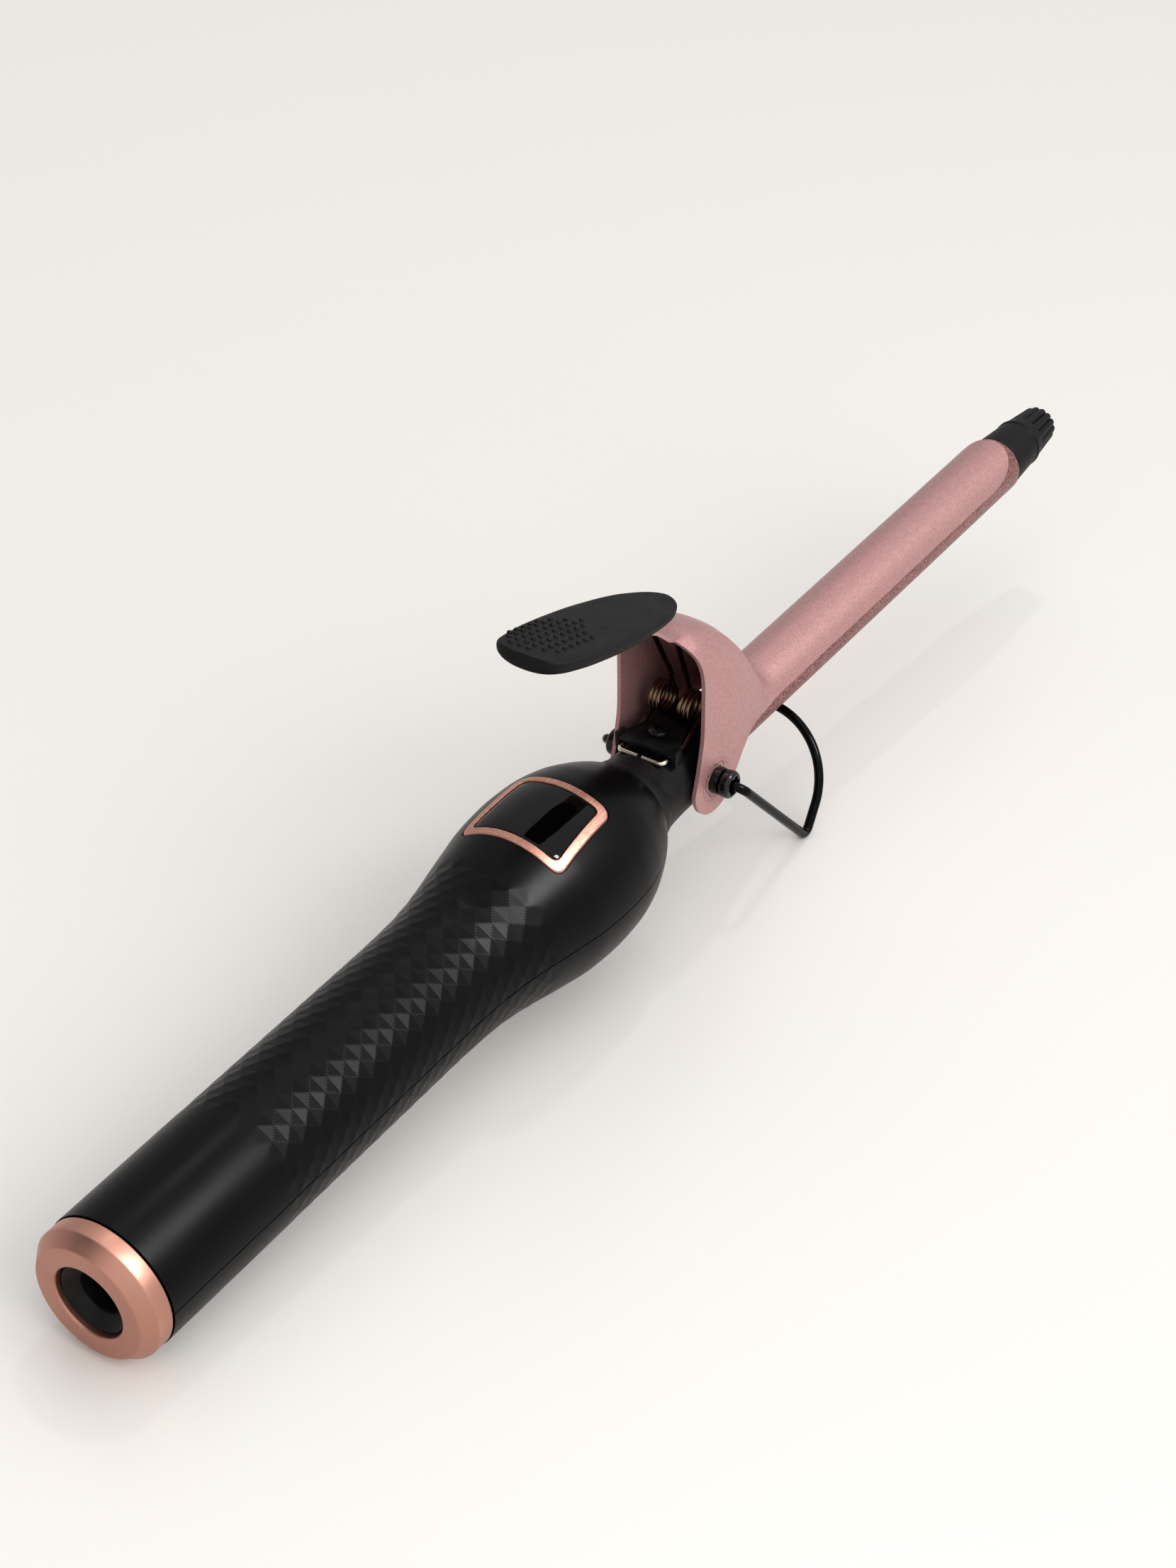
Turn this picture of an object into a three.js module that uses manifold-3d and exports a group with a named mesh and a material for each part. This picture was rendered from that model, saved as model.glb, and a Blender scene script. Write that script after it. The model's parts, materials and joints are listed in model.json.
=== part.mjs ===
// Curling iron with a spring clamp, a wire stand and a flush touch display.
//
// Everything is built along +Y, from the rear face of the end ring (y = 0) to the end of the cool tip, with the
// axis of the barrel on x = 0, z = 0. The last lines lean the whole iron back onto the rim of its end ring and the
// two feet of its stand, as it lies on a table, and put the origin under the middle of its box.

import * as THREE from 'three';
import { mergeVertices } from 'three/addons/utils/BufferGeometryUtils.js';
import Module from 'manifold-3d';

const wasm = await Module();
wasm.setup();

// ---------------------------------------------------------------- driving dimensions, in millimetres

const GAP = 0.3; // clearance between pieces that touch
const WELD = 1e-4; // vertices closer than this are one vertex

const HANDLE_START = 7.1;
const HANDLE_END = 181.8;
const HANDLE_WALL = 2.4;
// outer outline of the handle as [distance from the rear face, radius]
const HANDLE_OUTLINE = [
  [HANDLE_START, 15.6], [100, 15.7], [112, 16.0], [120, 16.75], [128, 18.1], [137, 19.85],
  [146, 21.35], [154, 21.75], [161, 21.4], [168, 20.05], [174, 17.8], [178.5, 15.5], [HANDLE_END, 13.3],
];

const RING_FACE_RADIUS = 13.1;
const RING_RADIUS = 15.4;
const RING_CHAMFER = 3;
const RING_LENGTH = 6.8;
const RING_BORE = 8.4;
const SLEEVE_BORE = 4.9;
const SLEEVE_START = 1.4;
const SLEEVE_END = 21;

const NECK_RADIUS = 10.3;
const NECK_END = 219.5;
const PIVOT_Y = 204.5;

const BARREL_RADIUS = 7.75;
const BARREL_WALL = 0.8;
const BARREL_START = 209.5;
const BARREL_END = 364.3;

const TIP_START = BARREL_END + GAP;
const TIP_RING = 378;
const TIP_END = 391;
const TIP_FLUTES = 14;

const SHEET = 0.6; // thickness of the clip plate on the barrel
const EAR_SHEET = 1.0;
const EAR_OUTER = 12;
const CLIP_OUTER = BARREL_RADIUS + 0.25 + SHEET;
const CLIP_LOWER_EDGE = 2.2; // height of the clip's lower edges above the axis
const CLIP_END = 362.4;
const EAR_ROUND = 8.8;

const PAD_SLOPE = Math.atan(0.25); // the thumb rest rises towards the rear
const PAD_TOP_MIDDLE = new THREE.Vector3(0, 176.6, 55.75); // on its flat top, halfway along the thumb's reach
const PAD_EDGE = 1; // height of the rounding above its widest line
// stations along the thumb rest, from rear to front: [forward of the middle, half width, depth]
const PAD_STATIONS = [
  [-28.4, 3.2, 3.0], [-28.0, 5.6, 3.6], [-26.9, 7.5, 4.2], [-24.8, 8.6, 4.8], [-21.2, 9.4, 5.2], [-15, 10.3, 5.3],
  [-8, 10.5, 5.2], [0, 10.4, 4.6], [7.6, 9.5, 3.8], [15.4, 8.2, 3.0], [20.6, 5.9, 2.5], [22.6, 4.5, 2.2],
  [24.1, 2.5, 1.8], [24.6, 1, 1.5],
];

const BUSH_FACE = 17; // outer face of the pivot bushes
const BUSH_HEAD_RADIUS = 3.4;
const BUSH_SHANK_RADIUS = 2.6;

const WIRE_RADIUS = 1.15;
const STAND_ARM_X = 19.5;
const STAND_FOOT = [233.9, -32.9]; // y and z of the foot corners
const STAND_SADDLE = [248.5, -BARREL_RADIUS - GAP - WIRE_RADIUS];

const SPRING_WIRE_RADIUS = 0.6;
const COIL_RADIUS = 3.3;
const COIL_TURNS = 5;
const COIL_CENTRE = [208.3, 15.4]; // y and z of both coils

// ---------------------------------------------------------------- materials

function material(color, roughness, metalness) {
  return new THREE.MeshStandardMaterial({ color, roughness, metalness });
}

const satinBlack = material('#1b1b1d', 0.45, 0);
const mattBlack = material('#222224', 0.7, 0);
const softBlack = material('#1d1d1f', 0.8, 0);
const glossBlack = material('#060608', 0.08, 0);
const roseMetal = material('#c08468', 0.3, 0.9);
const pinkCoat = material('#b8868a', 0.42, 0.55);
const blackWire = material('#0c0c0e', 0.2, 0.3);
const springSteel = material('#9b8a72', 0.25, 1);
const steel = material('#9ea1a4', 0.35, 1);
const brass = material('#b89a57', 0.35, 1);
const copper = material('#b87345', 0.3, 1);
const aluminium = material('#b9bcc0', 0.4, 1);
const ceramic = material('#e3e0d8', 0.6, 0);
const boardGreen = material('#2c5f3a', 0.6, 0);
const milkyPlastic = material('#e8e6e0', 0.5, 0);
const redInsulation = material('#8c2b24', 0.6, 0);
const yellowPlastic = material('#c9a43a', 0.5, 0);

// ---------------------------------------------------------------- solids and meshes

function signedVolume(position, index) {
  let volume = 0;
  const a = new THREE.Vector3();
  const b = new THREE.Vector3();
  const c = new THREE.Vector3();
  for (let i = 0; i < index.length; i += 3) {
    a.fromBufferAttribute(position, index[i]);
    b.fromBufferAttribute(position, index[i + 1]);
    c.fromBufferAttribute(position, index[i + 2]);
    volume += a.dot(b.cross(c)) / 6;
  }
  return volume;
}

// a closed three.js geometry as a solid, with its poles welded and its faces turned outwards
function solidOf(geometry) {
  const bare = new THREE.BufferGeometry();
  bare.setAttribute('position', geometry.getAttribute('position'));
  bare.setIndex(geometry.index);
  const welded = mergeVertices(bare, WELD);
  const position = welded.getAttribute('position');
  const all = welded.index.array;
  const kept = [];
  for (let i = 0; i < all.length; i += 3) {
    const [a, b, c] = [all[i], all[i + 1], all[i + 2]];
    if (a !== b && b !== c && c !== a) kept.push(a, b, c);
  }
  if (signedVolume(position, kept) < 0) kept.reverse();
  const vertProperties = new Float32Array(position.array);
  const triVerts = new Uint32Array(kept);
  return new wasm.Manifold(new wasm.Mesh({ numProp: 3, vertProperties, triVerts }));
}

function geometryOf(solid) {
  const mesh = solid.getMesh();
  const geometry = new THREE.BufferGeometry();
  geometry.setAttribute('position', new THREE.BufferAttribute(new Float32Array(mesh.vertProperties), 3));
  geometry.setIndex(new THREE.BufferAttribute(new Uint32Array(mesh.triVerts), 1));
  geometry.computeVertexNormals();
  return geometry;
}

const iron = new THREE.Group();

function add(name, solid, finish) {
  const mesh = new THREE.Mesh(geometryOf(solid), finish);
  mesh.name = name;
  iron.add(mesh);
}

// a profile of [y, radius] pairs turned about the Y axis; it closes on itself or on the axis
function turned(profile, segments = 28) {
  const points = profile.map(([y, radius]) => new THREE.Vector2(radius, y));
  return solidOf(new THREE.LatheGeometry(points, segments));
}

// a ring or tube between two radii, along Y
function tube(y0, y1, outer, inner, segments = 28) {
  return turned([[y0, inner], [y0, outer], [y1, outer], [y1, inner], [y0, inner]], segments);
}

function rod(y0, y1, radius, segments = 24) {
  return turned([[y0, 0], [y0, radius], [y1, radius], [y1, 0]], segments);
}

function box(x, y, z, centreX, centreY, centreZ) {
  const geometry = new THREE.BoxGeometry(x, y, z);
  geometry.translate(centreX, centreY, centreZ);
  return solidOf(geometry);
}

// a cylinder along X between two places, at the given y and z
function crossPin(x0, x1, y, z, radius, segments = 18) {
  const geometry = new THREE.CylinderGeometry(radius, radius, Math.abs(x1 - x0), segments);
  geometry.rotateZ(Math.PI / 2);
  geometry.translate((x0 + x1) / 2, y, z);
  return solidOf(geometry);
}

// a cylinder along Z between two heights
function post(z0, z1, x, y, radius, segments = 16) {
  const geometry = new THREE.CylinderGeometry(radius, radius, Math.abs(z1 - z0), segments);
  geometry.rotateX(Math.PI / 2);
  geometry.translate(x, y, (z0 + z1) / 2);
  return solidOf(geometry);
}

// an outline of [x, y] points pulled along Z
function pulledUp(outline, z0, z1) {
  const shape = new THREE.Shape(outline.map(([x, y]) => new THREE.Vector2(x, y)));
  const geometry = new THREE.ExtrudeGeometry(shape, { depth: z1 - z0, bevelEnabled: false });
  geometry.translate(0, 0, z0);
  return solidOf(geometry);
}

// an outline of [y, z] points pulled along X, equally to both sides
function pulledAcross(outline, halfWidth) {
  const shape = new THREE.Shape(outline.map(([y, z]) => new THREE.Vector2(y, z)));
  const geometry = new THREE.ExtrudeGeometry(shape, { depth: 2 * halfWidth, bevelEnabled: false });
  geometry.applyMatrix4(new THREE.Matrix4().set(0, 0, 1, -halfWidth, 1, 0, 0, 0, 0, 1, 0, 0, 0, 0, 0, 1));
  return solidOf(geometry);
}

// a path whose sections lie exactly on the points it is given
class PointPath extends THREE.Curve {
  constructor(points) {
    super();
    this.points = points;
  }

  getPoint(t) {
    const place = t * (this.points.length - 1);
    const i = Math.min(Math.floor(place), this.points.length - 2);
    return this.points[i].clone().lerp(this.points[i + 1], place - i);
  }

  getPointAt(u) {
    return this.getPoint(u);
  }

  getTangentAt(u) {
    return this.getTangent(u);
  }
}

function wire(points, radius, sides) {
  const section = new THREE.Shape();
  section.absarc(0, 0, radius, 0, 2 * Math.PI);
  const extrudePath = new PointPath(points);
  const settings = { steps: points.length - 1, curveSegments: sides / 2, bevelEnabled: false, extrudePath };
  return solidOf(new THREE.ExtrudeGeometry(section, settings));
}

// a solid through closed sections with the same number of points, closed by a fan at both ends
function lofted(sections) {
  const count = sections[0].length;
  const positions = sections.flat().flatMap((p) => [p.x, p.y, p.z]);
  const index = [];
  for (let s = 0; s < sections.length - 1; s += 1) {
    for (let i = 0; i < count; i += 1) {
      const j = (i + 1) % count;
      const a = s * count + i;
      const b = s * count + j;
      index.push(a, b, a + count, b, b + count, a + count);
    }
  }
  for (const [start, forwards] of [[0, false], [(sections.length - 1) * count, true]]) {
    const middle = positions.length / 3;
    const centre = new THREE.Vector3();
    for (let i = 0; i < count; i += 1) centre.add(sections[start === 0 ? 0 : sections.length - 1][i]);
    centre.divideScalar(count);
    positions.push(centre.x, centre.y, centre.z);
    for (let i = 0; i < count; i += 1) {
      const j = (i + 1) % count;
      if (forwards) index.push(start + i, start + j, middle);
      else index.push(start + j, start + i, middle);
    }
  }
  const geometry = new THREE.BufferGeometry();
  geometry.setAttribute('position', new THREE.Float32BufferAttribute(positions, 3));
  geometry.setIndex(index);
  return solidOf(geometry);
}

// ---------------------------------------------------------------- handle shells

const handleCurve = new THREE.SplineCurve(HANDLE_OUTLINE.slice(1).map(([y, r]) => new THREE.Vector2(y, r)));

const FORM_ROWS = 17;

// the handle's outer form, grown by `offset` all round, as one solid of revolution
function handleForm(offset, start, end, rows) {
  const profile = [[start, 0], [start, HANDLE_OUTLINE[0][1] + offset]];
  for (let i = 0; i <= rows; i += 1) {
    const p = handleCurve.getPoint(i / rows);
    profile.push([p.x, p.y + offset]);
  }
  profile[profile.length - 1][0] = end;
  profile.push([end, 0]);
  return turned(profile, 36);
}

// rounded trapezoid of the display on top of the bulge, `inset` inside the bezel's outer edge
function displayOutline(inset) {
  const rear = 138.9 + inset;
  const front = 161.4 - inset;
  const rearHalf = 13.4 - inset;
  const frontHalf = 12.2 - inset;
  const round = Math.max(3.2 - inset * 0.6, 1.2);
  const corners = [[-rearHalf, rear], [rearHalf, rear], [frontHalf, front], [-frontHalf, front]];
  const points = [];
  corners.forEach((corner, i) => {
    const before = new THREE.Vector2(...corners[(i + 3) % 4]);
    const here = new THREE.Vector2(...corner);
    const after = new THREE.Vector2(...corners[(i + 1) % 4]);
    const enter = here.clone().add(before.clone().sub(here).setLength(round));
    const leave = here.clone().add(after.clone().sub(here).setLength(round));
    const bend = new THREE.QuadraticBezierCurve(enter, here, leave);
    bend.getPoints(4).forEach((p) => points.push([p.x, p.y]));
  });
  return points;
}

const SCREW_PLACES = [31, 131];
const SCREW_RADIUS = 1.4;
const BOSS_RADIUS = 3.6;
const SCREW_HEAD_Z = -10.5;
const SCREW_TIP_Z = 7;

function handleShells() {
  const outer = handleForm(0, HANDLE_START, HANDLE_END, FORM_ROWS);
  const hollow = handleForm(-HANDLE_WALL, HANDLE_START - 1, HANDLE_END + 1, 12);
  let whole = outer.subtract(hollow);
  for (const y of SCREW_PLACES) whole = whole.add(post(-18, 18, 0, y, BOSS_RADIUS).intersect(outer));
  const window = pulledUp(displayOutline(-GAP), 8, 30);
  whole = whole.subtract(window);
  for (const y of SCREW_PLACES) {
    whole = whole.subtract(post(-30, SCREW_TIP_Z + GAP, 0, y, SCREW_RADIUS + GAP));
    whole = whole.subtract(post(-30, SCREW_HEAD_Z + GAP, 0, y, BOSS_RADIUS - 0.8));
  }
  const size = 60;
  const upperHalf = box(size, 2 * HANDLE_END, size, 0, HANDLE_END / 2, size / 2 + GAP / 2);
  const lowerHalf = box(size, 2 * HANDLE_END, size, 0, HANDLE_END / 2, -size / 2 - GAP / 2);
  add('handle_upper_shell', whole.intersect(upperHalf), satinBlack);
  add('handle_lower_shell', whole.intersect(lowerHalf), satinBlack);
}

// a pan-head screw standing along Z with its head at the lower end
function screwSolid(x, y, headZ, tipZ, radius, headRadius, headHeight) {
  const shank = post(headZ, tipZ, x, y, radius, 12);
  const head = post(headZ - headHeight, headZ, x, y, headRadius, 20);
  const slot = 0.5;
  const recess = box(headRadius, slot, headHeight, x, y, headZ - headHeight);
  const crossRecess = box(slot, headRadius, headHeight, x, y, headZ - headHeight);
  return shank.add(head).subtract(recess).subtract(crossRecess);
}

function shellScrews() {
  const names = ['shell_screw_rear', 'shell_screw_front'];
  SCREW_PLACES.forEach((y, i) => {
    add(names[i], screwSolid(0, y, SCREW_HEAD_Z, SCREW_TIP_Z, SCREW_RADIUS, 2.4, 1.6), steel);
  });
}

// ---------------------------------------------------------------- end ring and cord swivel

function endRing() {
  const shoulder = 4.7;
  const spigotEnd = 13;
  const profile = [
    [0.4, RING_BORE], [0, RING_BORE + 0.4], [0, RING_FACE_RADIUS], [RING_CHAMFER, RING_RADIUS],
    [RING_LENGTH, RING_RADIUS], [RING_LENGTH, 12.9], [spigotEnd, 12.9], [spigotEnd, 10.2],
    [shoulder, 10.2], [shoulder, RING_BORE], [0.4, RING_BORE],
  ];
  add('end_ring', turned(profile, 40), roseMetal);
}

function cordSwivel() {
  const sleeve = [
    [3.6, SLEEVE_BORE], [SLEEVE_START, 7.6], [SLEEVE_START, 8.05], [5, 8.05], [5, 9.8], [7, 9.8], [7, 6.6],
    [SLEEVE_END, 6.6], [SLEEVE_END, SLEEVE_BORE], [3.6, SLEEVE_BORE],
  ];
  add('cord_swivel_sleeve', turned(sleeve, 32), mattBlack);
  add('swivel_retaining_washer', tube(7.4, 8.6, 9.9, 7), steel);
  add('swivel_slip_ring_rear', tube(14.2, 15.8, 7.8, 6.9), copper);
  add('swivel_slip_ring_front', tube(18, 19.6, 7.8, 6.9), copper);
}

// springy contacts that rub on the two slip rings, and the block that carries them
function swivelContacts() {
  add('swivel_contact_block', box(8, 10, 1.8, 0, 18.8, -11), mattBlack);
  for (const [name, y] of [['swivel_contact_rear', 15], ['swivel_contact_front', 18.8]]) {
    add(name, box(4, 1.2, 1.2, 0, y, -9.1), copper);
  }
}

// ---------------------------------------------------------------- display and electronics

function display() {
  const bezelDepth = 1.9;
  const lensDepth = 1.7;
  const skin = handleForm(0, HANDLE_START, HANDLE_END, FORM_ROWS);
  const bezelFloor = handleForm(-bezelDepth, HANDLE_START, HANDLE_END, FORM_ROWS);
  const lensTop = handleForm(-0.15, HANDLE_START, HANDLE_END, FORM_ROWS);
  const lensFloor = handleForm(-lensDepth, HANDLE_START, HANDLE_END, FORM_ROWS);
  const border = 2.2;
  const frame = pulledUp(displayOutline(0), 8, 30).subtract(pulledUp(displayOutline(border), 7, 31));
  add('display_bezel', frame.intersect(skin.subtract(bezelFloor)), roseMetal);
  const pane = pulledUp(displayOutline(border + GAP), 8, 30);
  add('display_lens', pane.intersect(lensTop.subtract(lensFloor)), glossBlack);
  add('display_light_guide', box(11, 14, 2.2, 0, 150.5, 16.7), milkyPlastic);
  add('display_board', box(19, 19, 1.2, 0, 150.5, 14.5), boardGreen);
}

function mainBoard() {
  const boardTop = -2.2;
  add('main_board', box(21, 82, 1.6, 0, 81, boardTop - 0.8), boardGreen);
  add('suppression_capacitor', box(9, 15, 8, 0, 52, boardTop + GAP + 4), yellowPlastic);
  add('power_triac', box(10, 4.4, 9, 0, 72, boardTop + GAP + 4.5), mattBlack);
  add('control_chip', box(7, 10, 1.4, 0, 94, boardTop + GAP + 0.7), mattBlack);
}

// a lead along a smooth curve from the board through the neck to the heater
function lead(name, side) {
  const route = [
    [side * 5.6, 119, -0.8], [side * 5.8, 133, -2.5], [side * 3.6, 160, -4.8], [side * 2.2, 180, -2.4],
    [side * 2, 200, 0.2], [side * 2, 222, 0.8], [side * 2.6, 239.5, 0],
  ];
  const curve = new THREE.CatmullRomCurve3(route.map(([x, y, z]) => new THREE.Vector3(x, y, z)));
  add(name, wire(curve.getSpacedPoints(26), 0.8, 6), redInsulation);
}

// ---------------------------------------------------------------- neck and barrel

const BARREL_SEAT = BARREL_START - GAP;
const RETAINER_Y = 198.7;
const INSERT_RADIUS = 3.6;
const INSERT_INNER_X = 5.2;
const NECK_FLAT = 9.3; // height of the flat under the spring retainer

function neck() {
  const outer = [
    [168, 8.2], [168, 10.4], [172, 10.4], [172, 13], [175, 13], [175, 10.6], [HANDLE_END + GAP, 10.6],
    [HANDLE_END + GAP, 12.6],
    [187, 11.2], [187, 10.9], [192, 10.45], [196, NECK_RADIUS], [NECK_END, NECK_RADIUS],
    [NECK_END, BARREL_RADIUS + GAP], [BARREL_SEAT, BARREL_RADIUS + GAP], [BARREL_SEAT, 4.6],
    [190, 4.6], [186, 8.2], [168, 8.2],
  ];
  let collar = turned(outer, 32);
  for (const side of [-1, 1]) {
    const hole = crossPin(side * (INSERT_INNER_X - GAP), side * 12, PIVOT_Y, 0, INSERT_RADIUS + GAP);
    collar = collar.subtract(hole);
  }
  collar = collar.subtract(post(4.8, 12, 0, RETAINER_Y, 1.2 + GAP, 12));
  collar = collar.subtract(box(30, 18.5, 4, 0, 199.25, NECK_FLAT + 2));
  add('neck_collar', collar, mattBlack);
}

function barrel() {
  add('barrel_tube', tube(BARREL_START, BARREL_END, BARREL_RADIUS, BARREL_RADIUS - BARREL_WALL, 36), pinkCoat);
}

const HEATER_START = 241;
const HEATER_END = 338;
const CORE_HALF_THICKNESS = 1.3;

// half-round aluminium carrier between the ceramic core and the inside of the barrel
function heaterCarrier(side) {
  const radius = BARREL_RADIUS - BARREL_WALL - GAP;
  const inner = rod(HEATER_START, HEATER_END, radius, 28);
  const keep = box(20, 200, 10, 0, HEATER_START + 50, side * (5 + CORE_HALF_THICKNESS + GAP));
  return inner.intersect(keep);
}

function heater() {
  const length = HEATER_END - HEATER_START;
  const middle = (HEATER_START + HEATER_END) / 2;
  add('ceramic_heater', box(9, length - 6, 2 * CORE_HALF_THICKNESS, 0, middle, 0), ceramic);
  add('heater_carrier_upper', heaterCarrier(1), aluminium);
  add('heater_carrier_lower', heaterCarrier(-1), aluminium);
  add('thermal_fuse', crossPin(-2.6, 2.6, 231, -4.2, 1.3, 16), steel);
  add('temperature_sensor', rod(342, 347, 1.6, 12), ceramic);
}

// ---------------------------------------------------------------- cool tip

function tipRadius(y) {
  const t = (y - TIP_RING) / (TIP_END - TIP_RING);
  return THREE.MathUtils.lerp(6.45, 5.0, t);
}

// the fluted end of the tip, narrowing towards its flat face
function flutedEnd() {
  const steps = TIP_FLUTES * 4;
  const depth = 0.45;
  const stations = [TIP_RING - 0.5, TIP_RING + 4, TIP_RING + 8.5, TIP_END - 1, TIP_END];
  return lofted(stations.map((y) => {
    const edge = y === TIP_END ? 0.7 : 0;
    return Array.from({ length: steps }, (_, i) => {
      const angle = (2 * Math.PI * i) / steps;
      const wave = Math.abs(Math.sin((TIP_FLUTES * angle) / 2));
      const radius = tipRadius(y) - edge - depth * (1 - wave);
      return new THREE.Vector3(radius * Math.sin(angle), y, radius * Math.cos(angle));
    });
  }));
}

function coolTip() {
  const spigotRadius = BARREL_RADIUS - BARREL_WALL - GAP;
  const cone = turned([
    [358, 0], [358, spigotRadius], [TIP_START, spigotRadius], [TIP_START, 7.5],
    [TIP_RING - 0.9, 6.55], [TIP_RING - 0.7, 6.75], [TIP_RING + 0.2, 6.75], [TIP_RING + 0.4, 6.2], [TIP_RING + 0.4, 0],
  ], 32);
  const screwHole = rod(350, 368, 1.5 + GAP, 12);
  add('tip_cap', cone.add(flutedEnd()).subtract(screwHole), mattBlack);
  add('tip_insulating_disc', tube(354.5, 357.6, 6.4, 2.2), ceramic);
  add('tip_fixing_screw', rod(352.2, 366, 1.5, 12).add(rod(350.6, 352.3, 3, 16)), steel);
}

// ---------------------------------------------------------------- clamp

// stations along the clamp: [y, half width, shoulder height, crown height, squareness of the arch]
const CLAMP_STATIONS = [
  [188, 12, 29, 42.2, 2.7], [200, 12, 29, 41.9, 2.7], [206, 12, 28, 40.1, 2.7], [212, 11.9, 25, 36.9, 2.6],
  [218, 11.5, 19.8, 31.2, 2.5], [224, 10.4, 13.3, 23.9, 2.35], [229, 9.4, 7.6, 17.4, 2.2],
  [233.5, 8.8, 2.6, 11.8, 2.1], [237, CLIP_OUTER, 0.3, 9.0, 2], [240, CLIP_OUTER, 0, CLIP_OUTER, 2],
  [290, CLIP_OUTER, 0, CLIP_OUTER, 2], [370, CLIP_OUTER, 0, CLIP_OUTER, 2],
];
const CLAMP_FLOOR = -14;
const ARCH_STEPS = 22;

// the space under the clamp's skin, `inset` below its outer face
function clampForm(inset) {
  const sheetAt = (y) => THREE.MathUtils.mapLinear(THREE.MathUtils.clamp(y, 206, 240), 206, 240, EAR_SHEET, SHEET);
  return lofted(CLAMP_STATIONS.map(([y, halfWidth, shoulder, crown, power]) => {
    const skin = inset * sheetAt(y);
    const section = [new THREE.Vector3(halfWidth - skin, y, CLAMP_FLOOR - inset)];
    for (let i = 0; i <= ARCH_STEPS; i += 1) {
      const angle = Math.PI * (0.5 - i / ARCH_STEPS);
      const across = Math.sign(Math.sin(angle)) * Math.abs(Math.sin(angle)) ** (2 / power);
      const up = Math.abs(Math.cos(angle)) ** (2 / power);
      section.push(new THREE.Vector3((halfWidth - skin) * across, y, shoulder + (crown - skin - shoulder) * up));
    }
    section.push(new THREE.Vector3(-(halfWidth - skin), y, CLAMP_FLOOR - inset));
    return section;
  }));
}

// side view of the clamp: bowed rear edge, round ears, straight lower edge, rounded front end
function clampOutline() {
  const top = 60;
  const outline = [[195, top], [195.4, 43], [197.2, 39.6], [199, 35], [199.9, 28], [199.6, 16], [197.6, 6]];
  for (let degrees = 180; degrees <= 325; degrees += 14.5) {
    const angle = THREE.MathUtils.degToRad(degrees);
    outline.push([PIVOT_Y + EAR_ROUND * Math.cos(angle), EAR_ROUND * Math.sin(angle)]);
  }
  outline.push([218, 1], [222.5, 3.2], [227, 2.9], [232, CLIP_LOWER_EDGE]);
  const wrap = Math.acos(CLIP_LOWER_EDGE / CLIP_OUTER);
  const roundLength = 15;
  const roundSteps = 8;
  const power = 2.3;
  for (let i = roundSteps; i >= 0; i -= 1) {
    const share = Math.sin((Math.PI / 2) * (i / roundSteps));
    const back = roundLength * (1 - (1 - share ** power) ** (1 / power));
    outline.push([CLIP_END - back, CLIP_OUTER * Math.cos(share * wrap)]);
  }
  outline.push([CLIP_END, top]);
  return outline;
}

// the tongue that runs back and up from the crown of the arch into the thumb rest
function clampTongue(grow) {
  const path = [
    [204, 40.6], [200, 41.4], [196.5, 42.4], [193, 44.3], [189.5, 47.1], [186, 49.8], [182.5, 51.7], [178, 53.2],
    [158, 58.2],
  ];
  const half = EAR_SHEET / 2 + grow;
  const above = path.map(([y, z]) => [y, z + half]);
  const below = path.map(([y, z]) => [y, z - half]).reverse();
  if (grow > 0) {
    above[0][0] += 1;
    below[below.length - 1][0] += 1;
    above[above.length - 1][0] -= 1;
    below[0][0] -= 1;
  }
  return pulledAcross([...above, ...below], 8 + grow);
}

function clamp() {
  const skin = clampForm(0).subtract(clampForm(1));
  let plate = skin.intersect(pulledAcross(clampOutline(), 20));
  plate = plate.add(clampTongue(0));
  plate = plate.subtract(crossPin(-20, 20, PIVOT_Y, 0, BUSH_SHANK_RADIUS + GAP));
  add('clamp_plate', plate, pinkCoat);
}

// a boat-shaped pad: a flat top, a short rounded edge and a deeper curved underside
function thumbRest() {
  const around = 24;
  const along = new THREE.Vector3(0, Math.cos(PAD_SLOPE), -Math.sin(PAD_SLOPE));
  const normal = new THREE.Vector3(0, Math.sin(PAD_SLOPE), Math.cos(PAD_SLOPE));
  const sections = PAD_STATIONS.map(([forward, halfWidth, depth]) => {
    const centre = PAD_TOP_MIDDLE.clone().addScaledVector(along, forward).addScaledVector(normal, -PAD_EDGE);
    return Array.from({ length: around }, (_, i) => {
      const angle = (2 * Math.PI * i) / around;
      const [cosine, sine] = [Math.cos(angle), Math.sin(angle)];
      const squareness = sine >= 0 ? 0.45 : 0.95;
      const height = sine >= 0 ? PAD_EDGE * sine ** 0.5 : -(depth - PAD_EDGE) * (-sine) ** 0.85;
      const point = centre.clone();
      point.x += halfWidth * Math.sign(cosine) * Math.abs(cosine) ** squareness;
      return point.addScaledVector(normal, height);
    });
  });
  const pad = lofted(sections).subtract(clampTongue(GAP));
  add('thumb_rest', pad.subtract(clampForm(-0.35)), softBlack);
}

// ---------------------------------------------------------------- pivots

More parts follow.
